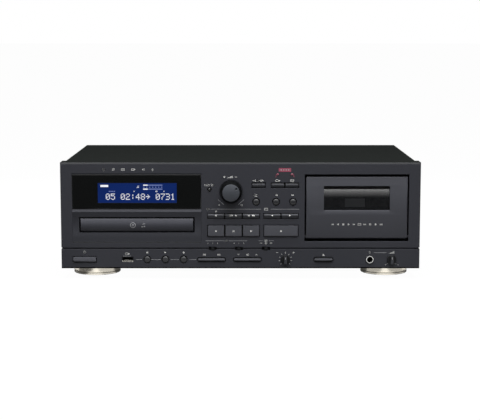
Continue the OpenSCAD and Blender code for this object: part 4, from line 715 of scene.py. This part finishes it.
class DECK_OT_door(bpy.types.Operator):
    """Dresses the cassette door and the tape drive behind it"""

    bl_idname = "deck.door"
    bl_label = "Dress cassette door"

    def execute(self, context):
        dressed("cassette_door", "satin_door_paint", edge=0.3, shortest=1.5, slot="door")
        dressed("door_window", "smoked_acrylic", slot="pane")
        # Painted light: a lighter field on the pane where the mechanism behind it shows through
        field = [[(129.5, 80.4), (147.2, 80.4)]]
        printed("pane_painted_light", "door", "painted_light_smoke_ink", field, -2.0, 10.4)
        dressed("cassette_holder", "carbon_black_moulding", edge=0.2, shortest=1.5, slot="inner_plastic")
        dressed("tape_frame", "dark_satin_moulding", slot="inner_plastic")
        dressed("tape_drive", "zinc_plated_steel", slot="zinc")
        for side in ("left", "right"):
            dressed("reel_hub_" + side, "carbon_black_moulding", slot="nickel")
            dressed("flywheel_" + side, "bright_nickel_plate", slot="nickel")
        low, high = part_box("head_bridge")
        tape_x, plate_y = (low.x + high.x) / 2, high.y - 2.6 * MM
        head_half = 8.5 * MM

        def tape_path(at, out):
            """Gives the plate zinc, the head in its middle nickel and the rollers beside it rubber."""
            if at.y > plate_y:
                return 0
            return 1 if abs(at.x - tape_x) < head_half else 2

        dressed("head_bridge", "zinc_plated_steel", "bright_nickel_plate", "black_rubber", slot="zinc",
                pick=tape_path)
        row = ("rewind", "reverse", "stop", "play", "forward", "cassette", "back", "pause", "record", "next")
        signs = [(sign, 111.4 + 6.5 * place, 54.3, 2.7) for place, sign in enumerate(row)]
        face = crowned_face("cassette_door", proud=1.2, crown=2.4, edge=1.2)
        printed("door_signs", "door", "white_print_ink", signs, face, 0.4)
        return {"FINISHED"}


class DECK_OT_controls(bpy.types.Operator):
    """Dresses the keys, buttons, knobs and switches, with the symbols on the keys"""

    bl_idname = "deck.controls"
    bl_label = "Dress controls"

    # How far up its face a key has its ridge, and its signs: symbol, place beside the middle, size
    KEYS = {
        "source_key": (0.5,),
        "record_key_left": (0.5,),
        "record_key_right": (0.5,),
        "drawer_key": (0.68, ("eject", 0, 2.0)),
        "skip_back_key": (0.68, ("back", -2.6, 2.6), ("rewind", 2.6, 2.6)),
        "skip_forward_key": (0.68, ("forward", -2.6, 2.6), ("next", 2.6, 2.6)),
        "tape_reverse_key": (0.68, ("reverse", 0, 2.2)),
        "tape_forward_key": (0.68, ("play", 0, 2.2)),
        "disc_stop_key": (0.1, ("stop", 0, 2.3)),
        "disc_pause_key": (0.1, ("pause", 0, 2.4)),
        "disc_play_key": (0.1, ("play", 0, 2.5)),
        "tape_stop_key": (0.1, ("stop", 0, 2.3)),
        "power_button": (0.25,),
    }
    BUTTONS = ("counter_reset_button", "repeat_button", "rewind_button", "forward_button",
               "stick_stop_button", "stick_play_button", "stick_record_button")
    PILLS = ("skip_rocker", "volume_rocker", "eject_button")
    SWITCHES = ("start_switch", "timer_switch", "reverse_switch")

    def execute(self, context):
        sizes = context.scene.deck_sizes
        for node, (ridge, *signs) in self.KEYS.items():
            # The large keys have their ridge low down
            large = ridge < 0.3
            moulding = "satin_large_key_moulding" if large else "satin_key_moulding"
            dressed(node, moulding, edge=sizes.key_edge / MM, shortest=2.0, slot="key")
            if signs:
                x, z = middle(node)
                lift = 0.0 if large else 1.0
                marks = [(sign, x + aside, z + lift, size) for sign, aside, size in signs]
                face = key_face(node, ridge)
                printed(node + "_sign", BODY_OF[node], "white_print_ink", marks, face, 0.3)
        for node in self.BUTTONS:
            dressed(node, "gloss_button_moulding", slot="key")
        for node in self.PILLS:
            # Painted light and shade: a lit band along the middle of the pill, its face above and below
            # painted dark
            rise = EDGE_Z + middle(node)[1] * MM
            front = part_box(node)[0].y + SKIN
            bar = (rise - 0.8 * MM, rise + 1.6 * MM)
            dressed(node, "carbon_black_moulding", "painted_light_bar_moulding", edge=0.2, slot="key", cuts=bar,
                    pick=lambda at, out: int(at.y < front and bar[0] < at.z < bar[1]))
        for node in self.SWITCHES:
            dressed(node, "carbon_black_moulding", edge=0.15, slot="inner_plastic")
        low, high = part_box("level_knob")
        hub, brow = (low + high) / 2, low.y + SKIN
        cell, cells, rim = 2.1 * MM, 5, 9 * MM

        def off_hub(at):
            return math.hypot(at.x - hub.x, at.z - hub.z)

        def dome(bm):
            """Cuts the knob's face into cells and raises their corners to a dome."""
            for step in range(-cells, cells + 1):
                for way in (Vector((1, 0, 0)), Vector((0, 0, 1))):
                    face = [f for f in bm.faces if f.calc_center_median().y < brow]
                    parts = dict.fromkeys([*face, *(e for f in face for e in f.edges),
                                           *(v for f in face for v in f.verts)])
                    bmesh.ops.bisect_plane(bm, geom=list(parts), plane_co=hub + way * step * cell,
                                           plane_no=way)
            top = [v for v in bm.verts if v.co.y < brow]
            far = max(off_hub(v.co) for v in top)
            for vert in top:
                vert.co.y -= sizes.knob_dome * (1 - (off_hub(vert.co) / far) ** 2)

        # The grip's matt black is partly its own moulding and partly painted shade round the knob: it stays
        # dark on top where the light falls
        dressed("level_knob", "satin_knob_moulding", "matt_black_moulding", edge=0.35, slot="knob",
                shape=dome, pick=lambda at, out: int(at.y > brow and off_hub(at) > rim))
        for node in ("pitch_knob", "mic_knob"):
            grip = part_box(node)[0].y + SKIN
            dressed(node, "carbon_black_moulding", "satin_key_moulding", edge=0.25, slot="knob",
                    pick=lambda at, out: int(at.y < grip))
            x, z = middle(node)
            pointer = [[(x, z + 1.6), (x, z + 3.6)]]
            printed(node + "_pointer", node, "white_print_ink", pointer, 8.0, 0.5)
        return {"FINISHED"}


class DECK_OT_print(bpy.types.Operator):
    """Prints the panel's symbols, figures, rules and scales"""

    bl_idname = "deck.print"
    bl_label = "Print front panel"

    def execute(self, context):
        level_x = middle("level_knob")[0]
        signs = [
            ("disc", -165.0, 120.9, 3.0), ("note", -153.5, 120.9, 2.8), ("cassette", -141.5, 120.9, 2.6),
            ("stick", -129.0, 120.9, 3.6), ("speaker", -117.0, 120.9, 3.0), ("voice", -106.0, 120.9, 3.0),
            ("record", -19.4, 111.8, 2.4), ("ramp", -13.0, 111.8, 6.5), ("minus", -5.4, 111.8, 2.4),
            ("0", -25.9, 77.9, 2.2), ("10", 1.2, 77.9, 2.2), ("0", -43.0, 102.0, 2.2),
            ("0", -40.6, 102.0, 2.2), ("0", -38.2, 102.0, 2.2), ("turn", -34.0, 102.2, 3.2),
            ("input", 16.4, 107.5, 2.8),
            ("disc", 20.8, 107.5, 2.6), ("stick", 25.6, 107.5, 3.2), ("stick", 45.0, 107.5, 4.2),
            ("cassette", 62.1, 107.5, 3.0), ("loop", 18.6, 89.6, 3.4), ("rewind", 43.4, 89.9, 3.0),
            ("forward", 62.9, 89.9, 3.0), ("disc", -39.4, 72.8, 3.0), ("cassette", 31.0, 72.8, 2.8),
            ("eject", -29.4, 70.2, 2.2), ("power", -189.1, 20.2, 3.4), ("stick", -137.2, 18.2, 4.2),
            ("stop", -113.2, 19.8, 2.4), ("play", -91.1, 19.8, 2.6), ("record", -69.0, 19.8, 2.8),
            ("back", -43.6, 17.1, 2.8), ("next", -26.6, 17.1, 2.8), ("down", -2.4, 17.1, 1.9),
            ("speaker", 8.5, 17.1, 3.2), ("up", 19.4, 17.1, 1.9), ("minus", 44.5, 19.6, 2.0),
            ("0", 54.5, 19.9, 1.8), ("plus", 64.5, 19.6, 2.0), ("eject", 100.7, 16.8, 2.8),
            ("voice", 157.0, 20.4, 2.8), ("ramp", 183.4, 19.6, 6.0), ("0", 176.2, 4.6, 1.5),
            ("10", 191.0, 4.6, 1.5), ("clock", -17.0, 34.2, 2.4), ("0", -39.4, 31.2, 1.6),
            ("1", -33.6, 31.2, 1.6), ("2", -27.8, 31.2, 1.6), ("0", -7.7, 31.2, 1.6), ("1", -1.9, 31.2, 1.6),
            ("2", 3.9, 31.2, 1.6), ("cassette", 31.0, 34.2, 2.0), ("once", 25.0, 31.3, 2.4),
            ("turn", 31.0, 31.3, 2.4), ("loop", 37.0, 31.3, 1.8),
        ]
        printed("panel_signs", "cabinet", "white_print_ink", signs, 0.0, 0.5)
        rules = [
            [(-35.6, 72.8), (24.6, 72.8)], [(36.6, 72.8), (71.0, 72.8)],
            [(-42.0, 34.2), (-19.4, 34.2)], [(-14.4, 34.2), (8.0, 34.2)],
            [(22.0, 34.2), (27.4, 34.2)], [(34.4, 34.2), (40.0, 34.2)],
            [(-142.4, 15.3), (-133.0, 15.3)], [(162.0, 19.6), (177.0, 19.6)],
            [(-126.9, 11.1), (-119.4, 11.1)], [(-108.4, 11.1), (-96.6, 11.1)],
            [(-84.7, 11.1), (-74.9, 11.1)], [(-62.0, 11.1), (-54.3, 11.1)],
        ]
        for side in (-1, 1):
            rules.append([(level_x + side * 15.6, 84.4), (level_x + side * 9.0, 78.6)])
        printed("panel_rules", "cabinet", "grey_print_ink", rules, 0.0, 0.45)
        ticks = []
        sweep, inner, outer = 135, 6.9, 8.1
        for node, count in (("pitch_knob", 9), ("mic_knob", 2)):
            hub = Vector(middle(node))
            for place in range(count):
                turn = math.radians(2 * sweep * place / (count - 1) - sweep)
                ray = Vector((math.sin(turn), math.cos(turn)))
                ticks.append([hub + ray * inner, hub + ray * outer])
        printed("knob_scales", "cabinet", "white_print_ink", ticks, 0.0, 0.4)
        red = [[(43.4, 115.4), (42.6, 111.6)], [(63.7, 115.4), (64.5, 111.6)]]
        printed("record_bracket", "cabinet", "red_print_ink", red, 0.0, 0.5)
        box = [[(47.4, 120.5), (59.6, 120.5)]]
        printed("record_box", "cabinet", "red_print_ink", box, 0.0, 4.4)
        spots = [("record", 49.0 + 3.0 * place, 120.4, 2.0) for place in range(4)]
        printed("record_spots", "cabinet", "grey_print_ink", spots, 0.02, 0.3)
        return {"FINISHED"}


class DECK_OT_sockets(bpy.types.Operator):
    """Dresses the sockets at the front and the rear"""

    bl_idname = "deck.sockets"
    bl_label = "Dress sockets"

    def execute(self, context):
        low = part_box("usb_socket")[0]
        lip, mouth = low.z + 1.7 * MM, low.y + 3 * MM
        dressed("usb_socket", "carbon_black_moulding", "white_insulator", slot="nickel", cuts=(lip,),
                pick=lambda at, out: int(at.z < lip and at.y < mouth and out.y < -0.5))
        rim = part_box("mic_jack")[0].y + 0.9 * MM
        dressed("mic_jack", "satin_nickel_plate", "carbon_black_moulding", slot="nickel",
                pick=lambda at, out: int(at.y > rim or out.y > -0.9))
        throat = curve_points(middle("mic_jack"), 2.8, 0, 360)
        printed("jack_throat", "cabinet", "carbon_black_moulding", [throat], 1.2, 1.4)
        low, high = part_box("line_sockets")
        column = (low.x + high.x) / 2

        def insulator(at, out):
            if out.y < 0.9 or at.y < high.y - SKIN:
                return 0
            return 1 if at.x < column else 2

        dressed("line_sockets", "bright_nickel_plate", "white_insulator", "red_insulator", slot="nickel",
                pick=insulator)
        dressed("mains_inlet", "carbon_black_moulding", edge=0.3, shortest=1.5, slot="inner_plastic")
        return {"FINISHED"}


class DECK_OT_inside(bpy.types.Operator):
    """Dresses the boards and the transformer"""

    bl_idname = "deck.inside"
    bl_label = "Dress inside"

    def execute(self, context):
        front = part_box("control_board")[1].y - 2.0 * MM
        lamps = EDGE_Z + 111 * MM

        def front_parts(at, out):
            """Gives the board its mask, what stands on it black, and the lamps up high red."""
            if at.y >= front:
                return 0
            return 2 if at.z > lamps else 1

        dressed("control_board", "black_solder_mask", "carbon_black_moulding", "red_lamp_lens",
                slot="board", pick=front_parts)
        low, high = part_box("main_board")
        board_top = low.z + 1.7 * MM
        sink_x, sink_y = high.x - 60 * MM, low.y + 63 * MM

        def main_parts(at, out):
            """Gives the board its mask, the cooler zinc, and the rest that stands on it black."""
            if at.z < board_top:
                return 0
            return 2 if abs(at.x - sink_x) < 30 * MM and abs(at.y - sink_y) < 12 * MM else 1

        dressed("main_board", "green_solder_mask", "carbon_black_moulding", "zinc_plated_steel",
                slot="board", pick=main_parts)
        low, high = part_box("power_transformer")
        core_y, core_half = (low.y + high.y) / 2, 14.1 * MM
        dressed("power_transformer", "laminated_steel", "copper_winding", slot="core",
                pick=lambda at, out: int(abs(at.y - core_y) > core_half))
        return {"FINISHED"}


class DECK_OT_stage(bpy.types.Operator):
    """Sets the floor, the lights, the surroundings and the camera"""

    bl_idname = "deck.stage"
    bl_label = "Set stage"

    def execute(self, context):
        scene = context.scene
        sizes, lights = scene.deck_sizes, scene.deck_lights
        floor = stage_sheet("floor", Matrix(), 60, 60)
        material, tree, shader = blank("pale_floor_paper")
        shader.inputs["Roughness"].default_value = 0.8
        shader.inputs["Specular IOR Level"].default_value = 0.0
        # Pale where it is seen, dim where its light would reach up under the deck
        shown = seen(tree)
        paper = add(tree, "ShaderNodeMapRange", {"Value": shown}, {"To Min": 0.06, "To Max": 0.8})
        tree.links.new(paper.outputs["Result"], shader.inputs["Base Color"])
        share = add(tree, "ShaderNodeMath", {0: shown}, {1: 0.98}, operation="MULTIPLY")
        white = add(tree, "ShaderNodeEmission", None, {"Color": (1, 1, 1, 1), "Strength": 1.0})
        mixed = add(tree, "ShaderNodeMixShader",
                    {0: share.outputs[0], 1: shader.outputs[0], 2: white.outputs[0]})
        tree.links.new(mixed.outputs[0], tree.nodes["Material Output"].inputs["Surface"])
        floor.data.materials.append(material)

        world = bpy.data.worlds.new("white_surroundings")
        scene.world = world
        world.use_nodes = True
        tree = world.node_tree
        level = add(tree, "ShaderNodeMapRange", {"Value": seen(tree)},
                    {"To Min": lights.ambient, "To Max": 1.0})
        tree.links.new(level.outputs["Result"], tree.nodes["Background"].inputs["Strength"])
        tree.nodes["Background"].inputs["Color"].default_value = (1, 1, 1, 1)

        # Cards that only reflections see: they keep gloss black deep and give the turned feet their
        # shade. Each has its tone, place, width, depth, and its turn about x and about y
        for name, tone, place, width, depth, tip, lean in (
                ("floor_card", 0.0, (0, FACE_Y - 1.2, 0.0003), 4.0, 1.8, 0, 0),
                ("under_card", 0.1, (0, 0.05, 0.0004), 0.44, 0.28, 0, 0),
                ("west_foot_shade", 0.16, (-0.262, -0.19, 0.0003), 0.14, 0.2, 0, 0),
                ("west_foot_fill", 0.75, (-0.084, -0.19, 0.0003), 0.17, 0.2, 0, 0),
                ("west_foot_light", 1.45, (-0.1805, -0.19, 0.0003), 0.023, 0.2, 0, 0),
                ("east_foot_light", 1.45, (0.1798, -0.19, 0.0003), 0.0245, 0.2, 0, 0),
                ("east_foot_shade", 0.55, (0.09, -0.19, 0.0003), 0.155, 0.2, 0, 0),
                ("east_foot_fill", 0.55, (0.262, -0.19, 0.0003), 0.14, 0.2, 0, 0),
                ("front_card", 0.0, (0, -2.7, 1.2), 5.0, 2.4, 90, 0),
                ("back_card", 0.0, (0, 1.6, 0.9), 4.0, 1.8, 90, 0),
                ("left_card", 0.0, (-1.6, -0.2, 0.9), 1.8, 2.6, 0, 90),
                ("right_card", 0.1, (1.6, -0.2, 0.9), 1.8, 2.6, 0, -90)):
            turned = (Matrix.Translation(place) @ Matrix.Rotation(math.radians(tip), 4, "X")
                      @ Matrix.Rotation(math.radians(lean), 4, "Y"))
            card = stage_sheet(name, turned, width, depth)
            for sight in ("camera", "diffuse", "transmission", "shadow"):
                setattr(card, "visible_" + sight, False)
            material, tree, shader = blank(name + "_paper")
            for socket, value in (("Base Color", (0, 0, 0, 1)), ("Specular IOR Level", 0.0),
                                  ("Emission Color", (1, 1, 1, 1)), ("Emission Strength", tone)):
                shader.inputs[socket].default_value = value
            if name == "front_card":
                # Grows bright upwards, for the shine that fades down the rolled pane
                spot = add(tree, "ShaderNodeTexCoord").outputs["Object"]
                at = add(tree, "ShaderNodeSeparateXYZ", {0: spot})
                rise = add(tree, "ShaderNodeMapRange", {"Value": at.outputs["Z"]},
                           {"From Max": 2.4, "To Min": tone, "To Max": 4.7})
                tree.links.new(rise.outputs["Result"], shader.inputs["Emission Strength"])
            card.data.materials.append(material)

        # The low softboxes lift the sides and back out of the dark and leave no shine
        heart = Vector((0, 0, 70 * MM))
        for name, power, shine, place, width, depth in (
                ("overhead_softbox", lights.overhead, True, (0.0, -0.5, 1.5), 1.8, 1.0),
                ("front_softbox", lights.front, True, (0.2, -1.6, 1.15), 0.9, 0.5),
                ("left_softbox", lights.behind, False, (-1.0, 0.5, 0.12), 0.6, 0.05),
                ("right_softbox", lights.behind, False, (1.0, 0.5, 0.12), 0.6, 0.05),
                ("rear_softbox", lights.behind, False, (0.0, 1.0, 0.1), 0.36, 0.06)):
            light = bpy.data.lights.new(name, "AREA")
            light.shape = "RECTANGLE"
            light.size = width
            light.size_y = depth
            light.energy = power
            lamp = bpy.data.objects.new(name, light)
            scene.collection.objects.link(lamp)
            lamp.location = place
            lamp.visible_camera = False
            lamp.visible_glossy = shine
            lamp.rotation_euler = (heart - lamp.location).to_track_quat("-Z", "Y").to_euler()

        view = bpy.data.cameras.new("camera")
        view.lens = sizes.lens
        view.sensor_width = 36
        camera = bpy.data.objects.new("camera", view)
        scene.collection.objects.link(camera)
        camera.location = (sizes.camera_side, FACE_Y - sizes.camera_back, sizes.camera_height)
        aim = Vector((sizes.camera_side, FACE_Y, sizes.aim_height)) - camera.location
        camera.rotation_euler = aim.to_track_quat("-Z", "Y").to_euler()
        scene.camera = camera
        scene.view_settings.view_transform = "Standard"
        return {"FINISHED"}


class DECK_PT_panel(bpy.types.Panel):
    """Lists the steps that dress the deck, and its colours, sizes and lights"""

    bl_idname = "DECK_PT_panel"
    bl_label = "Disc and cassette deck"
    bl_space_type = "VIEW_3D"
    bl_region_type = "UI"
    bl_category = "Deck"

    def draw(self, context):
        for step in STEPS:
            self.layout.operator(step.bl_idname)
        for group in (context.scene.deck_colours, context.scene.deck_sizes, context.scene.deck_lights):
            box = self.layout.box()
            for name in group.__annotations__:
                box.prop(group, name)


STEPS = (DECK_OT_finishes, DECK_OT_cabinet, DECK_OT_panel, DECK_OT_display, DECK_OT_drawer, DECK_OT_door,
         DECK_OT_controls, DECK_OT_print, DECK_OT_sockets, DECK_OT_inside, DECK_OT_stage)
CLASSES = (DeckSizes, DeckColours, DeckLights, *STEPS, DECK_PT_panel)


def register():
    for item in CLASSES:
        bpy.utils.register_class(item)
    bpy.types.Scene.deck_sizes = PointerProperty(type=DeckSizes)
    bpy.types.Scene.deck_colours = PointerProperty(type=DeckColours)
    bpy.types.Scene.deck_lights = PointerProperty(type=DeckLights)


def unregister():
    del bpy.types.Scene.deck_lights
    del bpy.types.Scene.deck_colours
    del bpy.types.Scene.deck_sizes
    for item in reversed(CLASSES):
        bpy.utils.unregister_class(item)


def main():
    register()
    bpy.ops.deck.finishes()
    bpy.ops.deck.cabinet()
    bpy.ops.deck.panel()
    bpy.ops.deck.display()
    bpy.ops.deck.drawer()
    bpy.ops.deck.door()
    bpy.ops.deck.controls()
    bpy.ops.deck.print()
    bpy.ops.deck.sockets()
    bpy.ops.deck.inside()
    bpy.ops.deck.stage()


if __name__ == "__main__":
    main()
